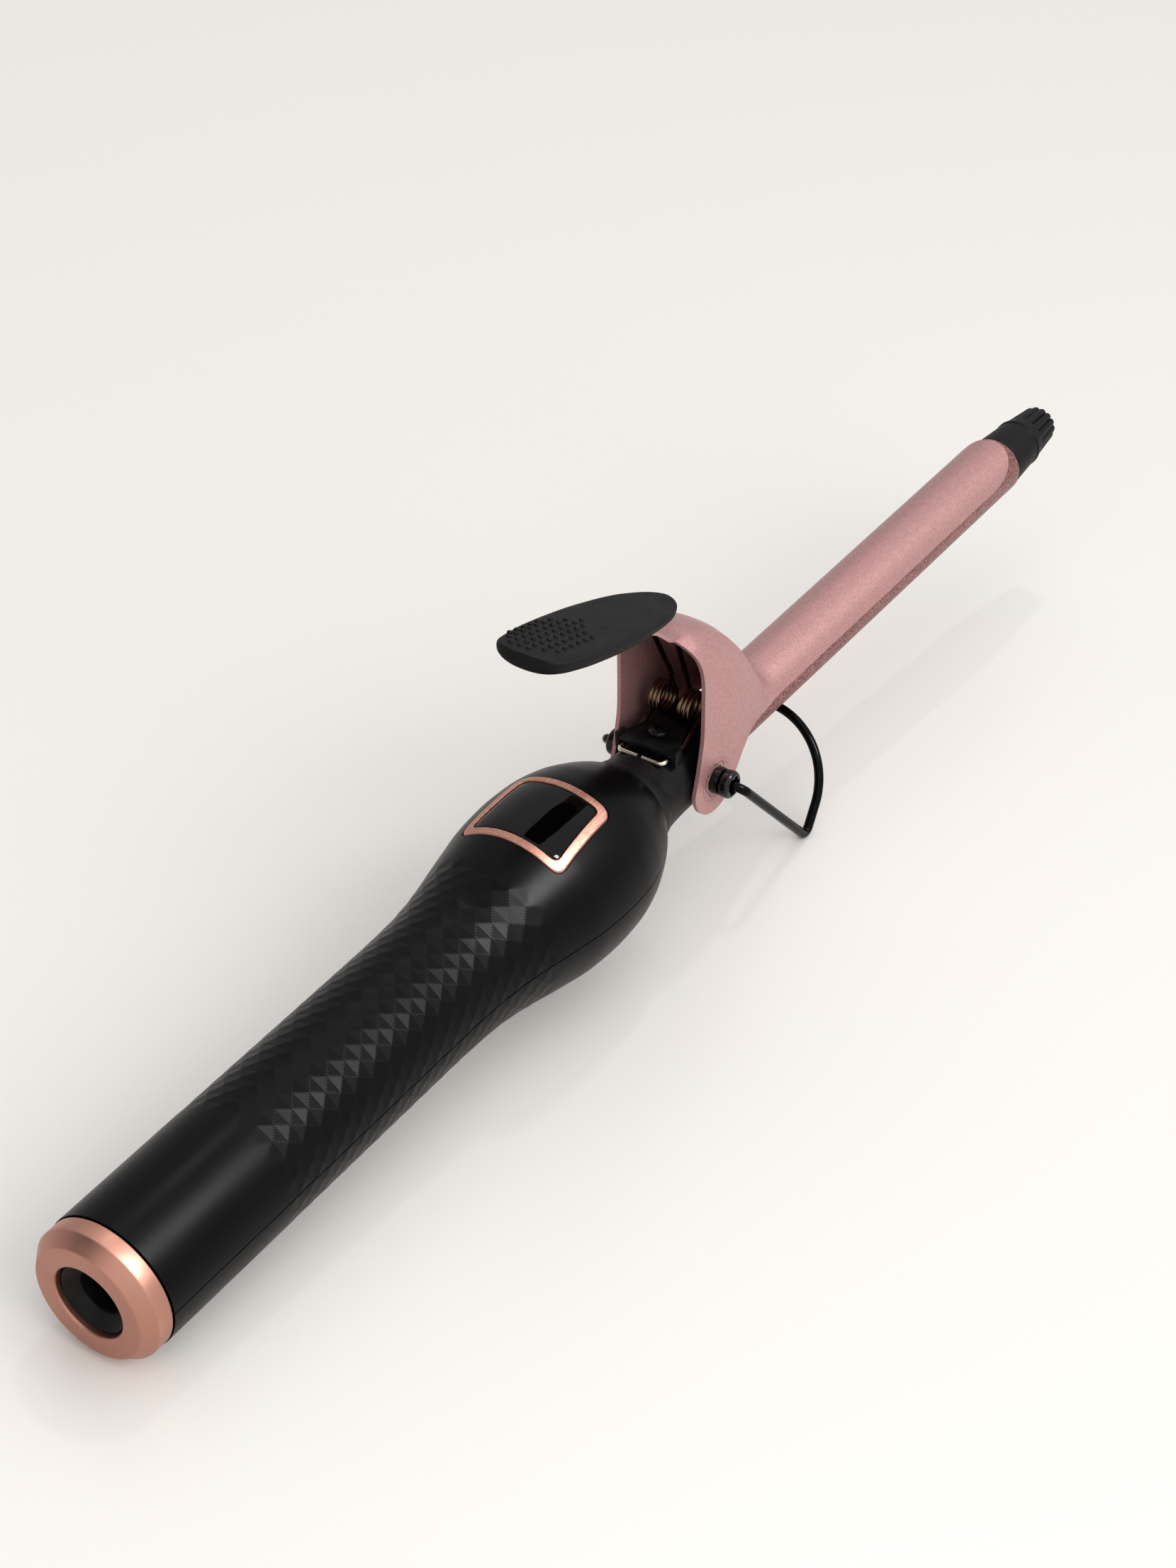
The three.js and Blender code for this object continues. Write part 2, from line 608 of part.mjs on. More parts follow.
function pivots() {
  for (const [side, name] of [[-1, 'left'], [1, 'right']]) {
    const shank = crossPin(side * (INSERT_INNER_X + GAP), side * 14.3, PIVOT_Y, 0, BUSH_SHANK_RADIUS);
    const head = crossPin(side * 14.2, side * BUSH_FACE, PIVOT_Y, 0, BUSH_HEAD_RADIUS);
    const socket = crossPin(side * 8, side * 20, PIVOT_Y, 0, WIRE_RADIUS + 0.35, 16);
    add(`pivot_bush_${name}`, shank.add(head).subtract(socket), mattBlack);
    const insert = crossPin(side * INSERT_INNER_X, side * 9.2, PIVOT_Y, 0, INSERT_RADIUS);
    const thread = crossPin(side * 4, side * 12, PIVOT_Y, 0, BUSH_SHANK_RADIUS + GAP);
    add(`pivot_insert_${name}`, insert.subtract(thread), brass);
    const spacer = crossPin(side * (EAR_OUTER + GAP), side * 13.9, PIVOT_Y, 0, 3.3);
    const spacerBore = crossPin(side * 11, side * 15, PIVOT_Y, 0, BUSH_SHANK_RADIUS + GAP);
    add(`pivot_spacer_${name}`, spacer.subtract(spacerBore), mattBlack);
  }
}

// ---------------------------------------------------------------- torsion spring and its retainer

const LEG_Z = 10.2;
const LEG_END_Y = 190.8;

// one side of the spring, from its bent end behind the retainer to the bridge under the crown
function springHalf(side) {
  const points = [];
  const put = (x, y, z) => points.push(new THREE.Vector3(side * x, y, z));
  const [coilY, coilZ] = COIL_CENTRE;
  const coilOuterX = 7.1;
  const coilInnerX = 1.3;
  put(0.9, LEG_END_Y, LEG_Z);
  put(4.4, LEG_END_Y, LEG_Z);
  put(5.4, LEG_END_Y + 0.3, LEG_Z);
  put(5.9, LEG_END_Y + 1.2, LEG_Z);
  put(6.4, 199, LEG_Z);
  put(coilOuterX, 205, 11.2);
  const stepsPerTurn = 10;
  const total = COIL_TURNS * stepsPerTurn + 4;
  for (let i = 0; i <= total; i += 1) {
    const angle = (2 * Math.PI * i) / stepsPerTurn - Math.PI / 2;
    const x = THREE.MathUtils.lerp(coilOuterX, coilInnerX, i / total);
    put(x, coilY + COIL_RADIUS * Math.cos(angle), coilZ + COIL_RADIUS * Math.sin(angle));
  }
  put(1.6, 209.4, 22);
  put(2.6, 206.3, 30);
  put(3.6, 203.6, 36.4);
  put(3.4, 202.8, 38);
  put(2.4, 202.4, 38.8);
  put(0.9, 202.3, 39);
  return points;
}

function torsionSpring() {
  const left = springHalf(-1);
  const right = springHalf(1).reverse();
  add('torsion_spring', wire([...left, ...right], SPRING_WIRE_RADIUS, 6), springSteel);
}

function springRetainer() {
  const top = 12.1;
  const under = 11.1;
  const plan = [[-7.4, 193], [7.4, 193], [7.4, 196], [5, 205.4], [-5, 205.4], [-7.4, 196]];
  let bracket = pulledUp(plan, under, top);
  for (const side of [-1, 1]) {
    const flange = pulledUp([[side * 7.4, 193], [side * 8.3, 193], [side * 8.3, 196.4], [side * 7.4, 196.4]], 8.6, top);
    bracket = bracket.add(flange);
  }
  const footHeight = under - NECK_FLAT - GAP;
  bracket = bracket.add(box(8, 12, footHeight + 0.2, 0, 199.4, under - footHeight / 2 + 0.1));
  add('spring_retainer', bracket.subtract(post(5, 15, 0, RETAINER_Y, 1.2 + GAP, 12)), mattBlack);
  const screw = screwSolid(0, RETAINER_Y, -top - GAP, -5.4, 1.2, 2.5, 1.5);
  add('retainer_screw', screw.rotate([0, 180, 0]), mattBlack);
}

// ---------------------------------------------------------------- wire stand

// points round a bend of the given radius where two straight runs meet
function bend(before, corner, after, radius, steps) {
  const into = before.clone().sub(corner).normalize();
  const out = after.clone().sub(corner).normalize();
  const half = into.angleTo(out) / 2;
  const reach = radius / Math.tan(half);
  const start = corner.clone().addScaledVector(into, reach);
  const end = corner.clone().addScaledVector(out, reach);
  const centre = corner.clone().addScaledVector(into.clone().add(out).normalize(), radius / Math.sin(half));
  const from = start.clone().sub(centre);
  const to = end.clone().sub(centre);
  const sweep = from.angleTo(to);
  const points = [];
  for (let i = 0; i <= steps; i += 1) {
    const t = i / steps;
    const a = Math.sin((1 - t) * sweep) / Math.sin(sweep);
    const b = Math.sin(t * sweep) / Math.sin(sweep);
    points.push(centre.clone().addScaledVector(from, a).addScaledVector(to, b));
  }
  return points;
}

function standHalf(side) {
  const pivotEnd = new THREE.Vector3(side * 13, PIVOT_Y, 0);
  const elbow = new THREE.Vector3(side * STAND_ARM_X, PIVOT_Y, 0);
  const foot = new THREE.Vector3(side * STAND_ARM_X, ...STAND_FOOT);
  const saddle = new THREE.Vector3(0, ...STAND_SADDLE);
  const rise = new THREE.Vector3(0, STAND_SADDLE[0] - STAND_FOOT[0], STAND_SADDLE[1] - STAND_FOOT[1]);
  const straight = rise.length() - STAND_ARM_X;
  rise.normalize();
  const archBase = foot.clone().addScaledVector(rise, straight);
  const points = [pivotEnd];
  points.push(...bend(pivotEnd, elbow, foot, 2.8, 5));
  points.push(...bend(elbow, foot, archBase, 1.9, 5));
  const centre = saddle.clone().addScaledVector(rise, -STAND_ARM_X);
  const archSteps = 12;
  for (let i = 0; i < archSteps; i += 1) {
    const angle = (Math.PI / 2) * (i / archSteps);
    const point = centre.clone().addScaledVector(rise, STAND_ARM_X * Math.sin(angle));
    point.x = side * STAND_ARM_X * Math.cos(angle);
    points.push(point);
  }
  return points;
}

function stand() {
  const top = new THREE.Vector3(0, ...STAND_SADDLE);
  const points = [...standHalf(-1), top, ...standHalf(1).reverse()];
  add('stand_wire', wire(points, WIRE_RADIUS, 10), blackWire);
}

// ---------------------------------------------------------------- assembly

handleShells();
shellScrews();
endRing();
cordSwivel();
swivelContacts();
display();
mainBoard();
lead('heater_lead_left', -1);
lead('heater_lead_right', 1);
neck();
barrel();
heater();
coolTip();
clamp();
thumbRest();
pivots();
torsionSpring();
springRetainer();
stand();

// the lean at which the rim of the end ring and the feet of the stand are equally low
function restingLean() {
  const lowest = (name, lean) => {
    const position = iron.getObjectByName(name).geometry.getAttribute('position');
    let low = Infinity;
    for (let i = 0; i < position.count; i += 1) {
      low = Math.min(low, position.getY(i) * Math.sin(lean) + position.getZ(i) * Math.cos(lean));
    }
    return low;
  };
  let shallow = 0;
  let steep = 0.2;
  for (let i = 0; i < 40; i += 1) {
    const lean = (shallow + steep) / 2;
    if (lowest('stand_wire', lean) < lowest('end_ring', lean)) shallow = lean;
    else steep = lean;
  }
  return (shallow + steep) / 2;
}

const leaning = new THREE.Group();
leaning.rotation.x = restingLean();
leaning.add(iron);

const part = new THREE.Group();
part.add(leaning);
part.updateMatrixWorld(true);
const extent = new THREE.Box3().setFromObject(part, true);
const middle = extent.getCenter(new THREE.Vector3());
leaning.position.set(-middle.x, -middle.y, -extent.min.z);
part.updateMatrixWorld(true);

export default part;
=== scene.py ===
import json
import math
import bmesh
import bpy
import numpy as np
from mathutils import Matrix, Vector


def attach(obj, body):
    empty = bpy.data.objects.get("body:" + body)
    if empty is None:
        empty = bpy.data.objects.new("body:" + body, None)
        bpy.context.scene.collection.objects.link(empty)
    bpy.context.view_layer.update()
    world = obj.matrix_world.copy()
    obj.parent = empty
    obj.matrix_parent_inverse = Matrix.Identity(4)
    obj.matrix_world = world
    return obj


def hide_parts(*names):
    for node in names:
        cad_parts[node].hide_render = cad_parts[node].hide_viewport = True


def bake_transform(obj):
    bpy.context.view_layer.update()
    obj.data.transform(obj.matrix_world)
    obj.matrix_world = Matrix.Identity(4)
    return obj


# Curling iron with a spring clip, a wire stand and a flush touch display.
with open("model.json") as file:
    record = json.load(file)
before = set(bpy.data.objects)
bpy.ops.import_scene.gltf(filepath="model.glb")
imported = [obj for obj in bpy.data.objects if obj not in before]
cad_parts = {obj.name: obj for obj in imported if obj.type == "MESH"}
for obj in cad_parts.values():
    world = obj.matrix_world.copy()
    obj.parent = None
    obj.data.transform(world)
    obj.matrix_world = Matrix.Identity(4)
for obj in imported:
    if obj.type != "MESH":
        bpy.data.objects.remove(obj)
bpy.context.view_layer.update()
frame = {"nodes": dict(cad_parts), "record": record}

# Table and light: a pale lacquered table top under a white room, one long ceiling lamp to the right and a
# small weak one further back. The camera looks down along the iron from behind its right side.


def linear(hex_colour):
    """an sRGB hex colour as linear red, green, blue, alpha"""
    parts = [int(hex_colour[i:i + 2], 16) / 255 for i in (1, 3, 5)]
    return [c / 12.92 if c <= 0.04045 else ((c + 0.055) / 1.055) ** 2.4 for c in parts] + [1.0]


def node(tree, kind, inputs=None, **settings):
    """adds a node with its settings; an input is a constant or the output that is linked to it"""
    made = tree.nodes.new(kind)
    for name, value in settings.items():
        setattr(made, name, value)
    for name, value in (inputs or {}).items():
        if isinstance(value, bpy.types.NodeSocket):
            tree.links.new(value, made.inputs[name])
        else:
            made.inputs[name].default_value = value
    return made


def finish(name, colour, roughness, metallic=0.0, mirror=0.5):
    """a material with its even colour, roughness, metallic and mirror share set on its shader"""
    made = bpy.data.materials.new(name)
    made.use_nodes = True
    shader = made.node_tree.nodes["Principled BSDF"]
    shader.inputs["Base Color"].default_value = linear(colour)
    shader.inputs["Roughness"].default_value = roughness
    shader.inputs["Metallic"].default_value = metallic
    shader.inputs["Specular IOR Level"].default_value = mirror
    return made, made.node_tree, shader


# the iron is drawn in millimetres along its own axis, from the rear face of its ring, and SEAT leans it as
# it lies
joints = {joint["name"]: joint for joint in frame["record"]["behaviour"]["joints"]}
MM = 0.001
PIVOT_Y = 204.5
along = Vector(joints["cord_swivel"]["axis"]).normalized()
up = Vector((1, 0, 0)).cross(along)
pivot = Vector(joints["clamp_hinge"]["pos_m"])
origin = pivot - PIVOT_Y * MM * along
SEAT = Matrix.Translation(origin) @ Matrix((
    (MM, 0, 0, 0),
    (0, along.y * MM, up.y * MM, 0),
    (0, along.z * MM, up.z * MM, 0),
    (0, 0, 0, 1),
))
LEAN = SEAT.to_3x3() * (1 / MM)


def tint(tree, shader, pattern, dark, light):
    """runs the colour of a finish between two by a pattern"""
    shade = node(tree, "ShaderNodeMix", {0: pattern, 6: linear(dark), 7: linear(light)}, data_type="RGBA")
    tree.links.new(shade.outputs[2], shader.inputs["Base Color"])


def surface(tree, shader, height, strength, depth, wear=None):
    """lifts a finish by a pattern, depth in mm, and lets the wear pattern change how rough it is"""
    bump = node(tree, "ShaderNodeBump", {"Height": height, "Strength": strength, "Distance": depth * MM})
    tree.links.new(bump.outputs["Normal"], shader.inputs["Normal"])
    if wear:
        pattern, low, high, smooth, rough = wear
        spread = node(tree, "ShaderNodeMapRange", {"Value": pattern, "From Min": low, "From Max": high,
                                                   "To Min": smooth, "To Max": rough})
        tree.links.new(spread.outputs["Result"], shader.inputs["Roughness"])


def piece_of(name, points, faces, edges=()):
    """a mesh object from points in the iron's millimetres"""
    mesh = bpy.data.meshes.new(name)
    mesh.from_pydata([SEAT @ Vector(p) for p in points], list(edges), faces)
    made = bpy.data.objects.new(name, mesh)
    bpy.context.collection.objects.link(made)
    return made


half = 3000
table = bpy.data.meshes.new("table_top")
corners = ((-1, -1), (1, -1), (1, 1), (-1, 1))
table.from_pydata([(x * half * MM, y * half * MM, -0.00002) for x, y in corners],
                  [], [(0, 1, 2, 3)])
table_top = bpy.data.objects.new("table_top", table)
bpy.context.collection.objects.link(table_top)
# lacquered board: an off-white that gives back a soft gleam and a faint reflection at its foot
lacquer, tree, shader = finish("lacquered_board", "#e6e2dd", 0.3)
place = node(tree, "ShaderNodeTexCoord").outputs["Object"]
grain = node(tree, "ShaderNodeTexNoise", {"Vector": place, "Scale": 1 / (1.2 * MM), "Detail": 2.0})
surface(tree, shader, grain.outputs["Fac"], 0.3, 0.02)
table_top.data.materials.append(lacquer)

world = bpy.data.worlds.new("white_room")
bpy.context.scene.world = world
world.use_nodes = True
tree = world.node_tree
# the room is brightest overhead and on the window side, and dim behind the far left
sky = node(tree, "ShaderNodeTexCoord").outputs["Generated"]
side_on = node(tree, "ShaderNodeVectorMath", {0: sky, 1: (0.34, -0.3, 0.89)}, operation="DOT_PRODUCT")
bright = node(tree, "ShaderNodeMapRange", {
    "Value": side_on.outputs["Value"], "From Min": 0.0, "From Max": 0.85, "To Min": 0.68, "To Max": 1.38,
}, interpolation_type="SMOOTHSTEP")
# whoever stands behind the camera keeps one side of it dark
shaded = node(tree, "ShaderNodeVectorMath", {0: sky, 1: (-0.5, -0.48, 0.72)}, operation="DOT_PRODUCT")
shadow = node(tree, "ShaderNodeMapRange", {
    "Value": shaded.outputs["Value"], "From Min": 0.78, "From Max": 0.97, "To Min": 1.0, "To Max": 0.12,
}, interpolation_type="SMOOTHSTEP")
level = node(tree, "ShaderNodeMath", {0: bright.outputs["Result"], 1: shadow.outputs["Result"]},
             operation="MULTIPLY")
tree.nodes["Background"].inputs["Color"].default_value = linear("#fafafa")
tree.links.new(level.outputs["Value"], tree.nodes["Background"].inputs["Strength"])


def lamp(name, direction, distance, size, power, lights=True, gleams=True):
    """a rectangular lamp that shines from the given direction onto the middle of the iron"""
    light = bpy.data.lights.new(name, "AREA")
    light.shape = "RECTANGLE"
    light.size, light.size_y = size
    light.energy = power
    made = bpy.data.objects.new(name, light)
    bpy.context.collection.objects.link(made)
    toward = Vector(direction).normalized()
    made.location = toward * distance + Vector((0, 0, 0.03))
    made.rotation_euler = toward.to_track_quat("Z", "Y").to_euler()
    made.visible_diffuse = lights
    made.visible_glossy = gleams


lamp("ceiling_lamp", (0.61, 0.18, 0.77), 1.6, (0.24, 0.62), 26, lights=False)
lamp("window", (0.87, -0.2, 0.45), 1.15, (1.0, 0.9), 8, gleams=False)
lamp("far_lamp", (-0.18, 0.41, 0.89), 1.6, (0.035, 0.035), 1.5)

camera_data = bpy.data.cameras.new("camera")
camera_data.sensor_fit = "VERTICAL"
camera_data.sensor_height = 36
camera_data.lens = 68.35
camera_data.clip_start = 0.01
camera = bpy.data.objects.new("camera", camera_data)
bpy.context.collection.objects.link(camera)
# where it stands and how it is turned, along the iron's own axes
camera_turn = LEAN @ Matrix((
    (0.8277, -0.3216, 0.4599), (0.5607, 0.5068, -0.6548), (-0.0225, 0.7998, 0.5998),
))
camera.matrix_world = Matrix.Translation(SEAT @ Vector((306.3, -266.3, 415.2))) @ camera_turn.to_4x4()
bpy.context.scene.camera = camera
bpy.context.scene.view_settings.view_transform = "Standard"

# Handle: two half shells of satin black PC/ABS, moulded with a band of shallow diamond facets for grip, and
# closed by two screws from below. The upper one has a window for the display.
HANDLE_START, HANDLE_END, HANDLE_WALL = 7.1, 181.8, 2.4
HANDLE_OUTLINE = [
    (7.1, 15.6), (60, 15.65), (100, 15.7), (112, 16.0), (120, 16.75), (128, 18.1), (137, 19.85),
    (146, 21.35),
    (154, 21.75), (161, 21.4), (168, 20.05), (174, 17.8), (178.5, 15.5), (181.8, 13.3),
]
SPLIT = 0.15  # half the gap between the shells
CELL_TURN = math.radians(360 / 44)  # half a facet round the handle
CELL_STEP = 2.8  # half a facet along it
FACETS_START, FACETS_END = 41.8, 131.4
FINE = 6  # rows of faces in half a facet
SCREW_PLACES = (31, 131)


def smooth_through(stations, at):
    """a smooth curve through (place, value) stations that never swings past them"""
    x = np.array([s[0] for s in stations], float)
    y = np.array([s[1] for s in stations], float)
    rise = np.diff(y) / np.diff(x)
    slope = np.zeros(len(x))
    same = rise[1:] * rise[:-1] > 0
    slope[1:-1][same] = 2 * rise[1:][same] * rise[:-1][same] / (rise[1:] + rise[:-1])[same]
    slope[0], slope[-1] = rise[0], rise[-1]
    at = np.clip(np.asarray(at, float), x[0], x[-1])
    i = np.clip(np.searchsorted(x, at) - 1, 0, len(x) - 2)
    step = x[i + 1] - x[i]
    t = (at - x[i]) / step
    return ((2 * t ** 3 - 3 * t ** 2 + 1) * y[i] + (t ** 3 - 2 * t ** 2 + t) * step * slope[i]
            + (3 * t ** 2 - 2 * t ** 3) * y[i + 1] + (t ** 3 - t ** 2) * step * slope[i + 1])


def handle_radius(y):
    return smooth_through(HANDLE_OUTLINE, y)


def facet_radius(y, turn):
    """radius of the handle with its facets: each is cut by two flats that meet in a valley across it"""
    smooth = handle_radius(y)
    if y <= FACETS_START or y >= FACETS_END:
        return smooth
    row = (y - FACETS_START) / CELL_STEP
    last = round((FACETS_END - FACETS_START) / CELL_STEP)
    lowest = smooth
    for odd in (0, 1):
        column = 2 * round((turn / CELL_TURN - odd) / 2) + odd
        valley = 2 * round((row - (1 - odd)) / 2) + (1 - odd)
        if valley <= 0 or valley >= last:
            continue
        depth = smooth * (1 - math.cos(CELL_TURN)) * (1 - min(abs(row - valley), 1.0))
        lowest = min(lowest, (smooth - depth) / math.cos(turn - column * CELL_TURN))
    return lowest


def plain(piece):
    """turns what a piece's modifiers make of it into its own mesh"""
    graph = bpy.context.evaluated_depsgraph_get()
    mesh = bpy.data.meshes.new_from_object(piece.evaluated_get(graph))
    piece.modifiers.clear()
    piece.data = mesh


def tidy(piece, crease=30.0, outwards=True):
    """closes seams, turns faces outwards and shades smooth between creases of the given angle"""
    shape = bmesh.new()
    shape.from_mesh(piece.data)
    bmesh.ops.remove_doubles(shape, verts=shape.verts, dist=2e-6)
    if outwards:
        bmesh.ops.recalc_face_normals(shape, faces=shape.faces)
    shape.to_mesh(piece.data)
    shape.free()
    piece.data.polygons.foreach_set("use_smooth", [True] * len(piece.data.polygons))
    piece.data.set_sharp_from_angle(angle=math.radians(crease))


def carve(piece, cutters, how="DIFFERENCE"):
    """cuts the cutters out of a piece, or joins them to it, and throws them away"""
    for cutter in cutters:
        modifier = piece.modifiers.new("carve", "BOOLEAN")
        modifier.operation = how
        modifier.solver = "MANIFOLD"
        modifier.object = cutter
        plain(piece)
        bpy.data.objects.remove(cutter)


def shell_rows():
    rows = list(np.arange(HANDLE_START, FACETS_START, 3.5))
    count = 1 + round((FACETS_END - FACETS_START) / CELL_STEP) * FINE
    rows += list(np.linspace(FACETS_START, FACETS_END, count))
    rows += list(np.linspace(FACETS_END, HANDLE_END, 56))[1:]
    return rows


def half_shell(name, side):
    rows = shell_rows()
    columns = 22 * FINE
    points = []
    for y in rows:
        for i in range(columns + 1):
            turn = -math.pi / 2 + math.pi * i / columns
            radius = facet_radius(y, turn)
            z = max(radius * math.cos(turn), SPLIT)
            points.append((radius * math.sin(turn), y, side * z))
    faces = []
    for r in range(len(rows) - 1):
        for i in range(columns):
            a = r * (columns + 1) + i
            b = a + 1
            c = b + columns + 1
            d = a + columns + 1
            rising = (i // FINE + int((rows[r] - FACETS_START + 0.01) / CELL_STEP)) % 2 == 0
            # the face splits along the ridge between two facets
            faces += [(a, b, c), (a, c, d)] if rising else [(a, b, d), (b, c, d)]
    inner_rows = list(np.linspace(HANDLE_START, HANDLE_END, 24))
    inner_columns = 24
    first = len(points)
    for y in inner_rows:
        for i in range(inner_columns + 1):
            turn = -math.pi / 2 + math.pi * i / inner_columns
            radius = handle_radius(y) - HANDLE_WALL
            points.append((radius * math.sin(turn), y, side * max(radius * math.cos(turn), SPLIT)))
    wide = inner_columns + 1
    for r in range(len(inner_rows) - 1):
        for i in range(inner_columns):
            a = first + r * wide + i
            faces.append((a, a + wide, a + wide + 1, a + 1))

    def outer(row, column):
        return row * (columns + 1) + column

    def inner(row, column):
        return first + row * wide + column

    for r, s in ((0, 0), (len(rows) - 1, len(inner_rows) - 1)):
        faces.append([outer(r, i) for i in range(columns + 1)]
                     + [inner(s, i) for i in range(inner_columns, -1, -1)])
    for i, j in ((0, 0), (columns, inner_columns)):
        faces.append([outer(r, i) for r in range(len(rows))]
                     + [inner(s, j) for s in range(len(inner_rows) - 1, -1, -1)])
    made = piece_of(name, points, faces)
    tidy(made, 180)
    return made


def prism(outline, low, high, axis="z", name="cutter"):
    """an outline pulled along Z between two heights, or along X ([y, z] outline) between two places"""
    count = len(outline)
    points = []
    for level in (low, high):
        for a, b in outline:
            points.append((a, b, level) if axis == "z" else (level, a, b))
    faces = [list(range(count))[::-1], list(range(count, 2 * count))]
    for i in range(count):
        j = (i + 1) % count
        faces.append((i, j, count + j, count + i))
    made = piece_of(name, points, faces)
    tidy(made, 30)
    return made


def circle(x, y, radius, steps=32):
    return [(x + radius * math.cos(2 * math.pi * i / steps), y + radius * math.sin(2 * math.pi * i / steps))
            for i in range(steps)]


def display_outline(inset, bends=8, runs=12):
    """rounded trapezoid of the display seen from above, inset from the outer edge of its bezel"""
    rear, front = 138.9 + inset, 161.4 - inset
    rear_half, front_half = 13.4 - inset, 12.2 - inset
    round_off = max(3.2 - inset * 0.6, 1.2)
    corners = [Vector((-rear_half, rear)), Vector((rear_half, rear)), Vector((front_half, front)),
               Vector((-front_half, front))]
    turns = []
    for i, corner in enumerate(corners):
        enter = corner + (corners[i - 1] - corner).normalized() * round_off
        leave = corner + (corners[(i + 1) % 4] - corner).normalized() * round_off
        turns.append([enter * (1 - t) ** 2 + corner * (2 * t * (1 - t)) + leave * t ** 2
                      for t in (k / bends for k in range(bends + 1))])
    outline = []
    for i, turn in enumerate(turns):
        outline += turn
        reach = turns[(i + 1) % 4][0]
        outline += [turn[-1].lerp(reach, k / runs) for k in range(1, runs)]
    return [(p.x, p.y) for p in outline]


upper_shell = half_shell("handle_upper", 1)
lower_shell = half_shell("handle_lower", -1)
carve(upper_shell, [prism(display_outline(-0.28), 8, 30)])
for y in SCREW_PLACES:
    boss = prism(circle(0, y, 3.6), -float(handle_radius(y)) + 1.2, -SPLIT)
    carve(lower_shell, [boss], "UNION")
    carve(lower_shell, [prism(circle(0, y, 2.8), -30, -10.2), prism(circle(0, y, 1.7), -30, 5)])
for shell in (upper_shell, lower_shell):
    tidy(shell, 4, outwards=False)

# satin moulded PC/ABS: near black, with a fine spark-eroded grain that breaks the highlight into a soft
# bloom
satin_black, tree, shader = finish("satin_moulded_abs", "#030304", 0.34, 0.0, 0.085)
place = node(tree, "ShaderNodeTexCoord").outputs["Object"]
spark = node(tree, "ShaderNodeTexNoise", {"Vector": place, "Scale": 1 / (0.45 * MM), "Detail": 3.0})
handled = node(tree, "ShaderNodeTexNoise", {"Vector": place, "Scale": 1 / (16 * MM), "Detail": 4.0})
surface(tree, shader, spark.outputs["Fac"], 0.3, 0.012,
        (handled.outputs["Fac"], 0.3, 0.7, 0.31, 0.38))
for shell, name in ((upper_shell, "handle_upper_shell"), (lower_shell, "handle_lower_shell")):
    shell.data.materials.clear()
    shell.data.materials.append(satin_black)
    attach(shell, "housing")
    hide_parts(name)

# End ring: turned from copper-coloured anodised aluminium, pressed onto a spigot inside the handle. Its
# face is faced off on the lathe, so fine rings run round it.


def eased(outline, radius, steps=3, ring=True):
    """an outline of pairs with every clear corner rounded off"""
    outline = [np.array(p, float) for p in outline]
    count = len(outline)
    done = []
    for i, here in enumerate(outline):
        if not ring and i in (0, count - 1):
            done.append(tuple(here))
            continue
        before, after = outline[i - 1] - here, outline[(i + 1) % count] - here
        back, ahead = np.hypot(*before), np.hypot(*after)
        bend = math.degrees(math.acos(np.clip(-(before @ after) / (back * ahead), -1, 1)))
        if bend < 14:
            done.append(tuple(here))
            continue
        reach = min(radius, 0.45 * back, 0.45 * ahead)
        enter, leave = here + before / back * reach, here + after / ahead * reach
        for k in range(steps + 1):
            t = k / steps
            done.append(tuple(enter * (1 - t) ** 2 + here * (2 * t * (1 - t)) + leave * t ** 2))
    return done


def along_axis(place, across, high):
    return (across, place, high)


def turned(name, profile, steps=96, lay=along_axis):
    """a closed profile of [place, radius] pairs turned about the iron's axis, or as lay places it"""
    points = []
    for place, radius in profile:
        for i in range(steps):
            turn = 2 * math.pi * i / steps
            points.append(lay(place, radius * math.sin(turn), radius * math.cos(turn)))
    faces = []
    for r in range(len(profile)):
        s = (r + 1) % len(profile)
        for i in range(steps):
            j = (i + 1) % steps
            faces.append((r * steps + i, r * steps + j, s * steps + j, s * steps + i))
    made = piece_of(name, points, faces)
    tidy(made, 35)
    return made


end_ring = turned("end_ring_turned", eased([
    (0.4, 8.4), (0, 8.8), (0, 13.1), (3, 15.4), (6.8, 15.4), (6.8, 12.9), (13, 12.9), (13, 10.2),
    (4.7, 10.2),
    (4.7, 8.4),
], 0.28), 144)
# anodised turned aluminium: a warm copper pink metal, satin, whose gleam is drawn out round the axis by
# tool marks
rose_anodised, tree, shader = finish("rose_anodised_aluminium", "#b58373", 0.42, 1.0)
place = node(tree, "ShaderNodeTexCoord").outputs["Object"]
centred = node(tree, "ShaderNodeVectorMath", {0: place, 1: tuple(origin)}, operation="SUBTRACT")
axial = node(tree, "ShaderNodeVectorMath", {0: centred.outputs["Vector"], 1: tuple(along)},
             operation="DOT_PRODUCT")
on_axis = node(tree, "ShaderNodeVectorMath", {0: tuple(along), "Scale": axial.outputs["Value"]},
               operation="SCALE")
off_axis = node(tree, "ShaderNodeVectorMath", {0: centred.outputs["Vector"], 1: on_axis.outputs["Vector"]},
                operation="SUBTRACT")
radius = node(tree, "ShaderNodeVectorMath", {0: off_axis.outputs["Vector"]}, operation="LENGTH")
reach = node(tree, "ShaderNodeMath", {0: radius.outputs["Value"], 1: axial.outputs["Value"]},
             operation="ADD")
tool = node(tree, "ShaderNodeTexNoise", {"W": reach.outputs["Value"], "Scale": 1 / (0.16 * MM),
                                         "Detail": 2.0}, noise_dimensions="1D")
smear = node(tree, "ShaderNodeTexNoise", {"Vector": place, "Scale": 1 / (5 * MM), "Detail": 3.0})
surface(tree, shader, tool.outputs["Fac"], 0.3, 0.003,
        (smear.outputs["Fac"], 0.3, 0.7, 0.38, 0.46))
end_ring.data.materials.append(rose_anodised)
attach(end_ring, "housing")
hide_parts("end_ring")

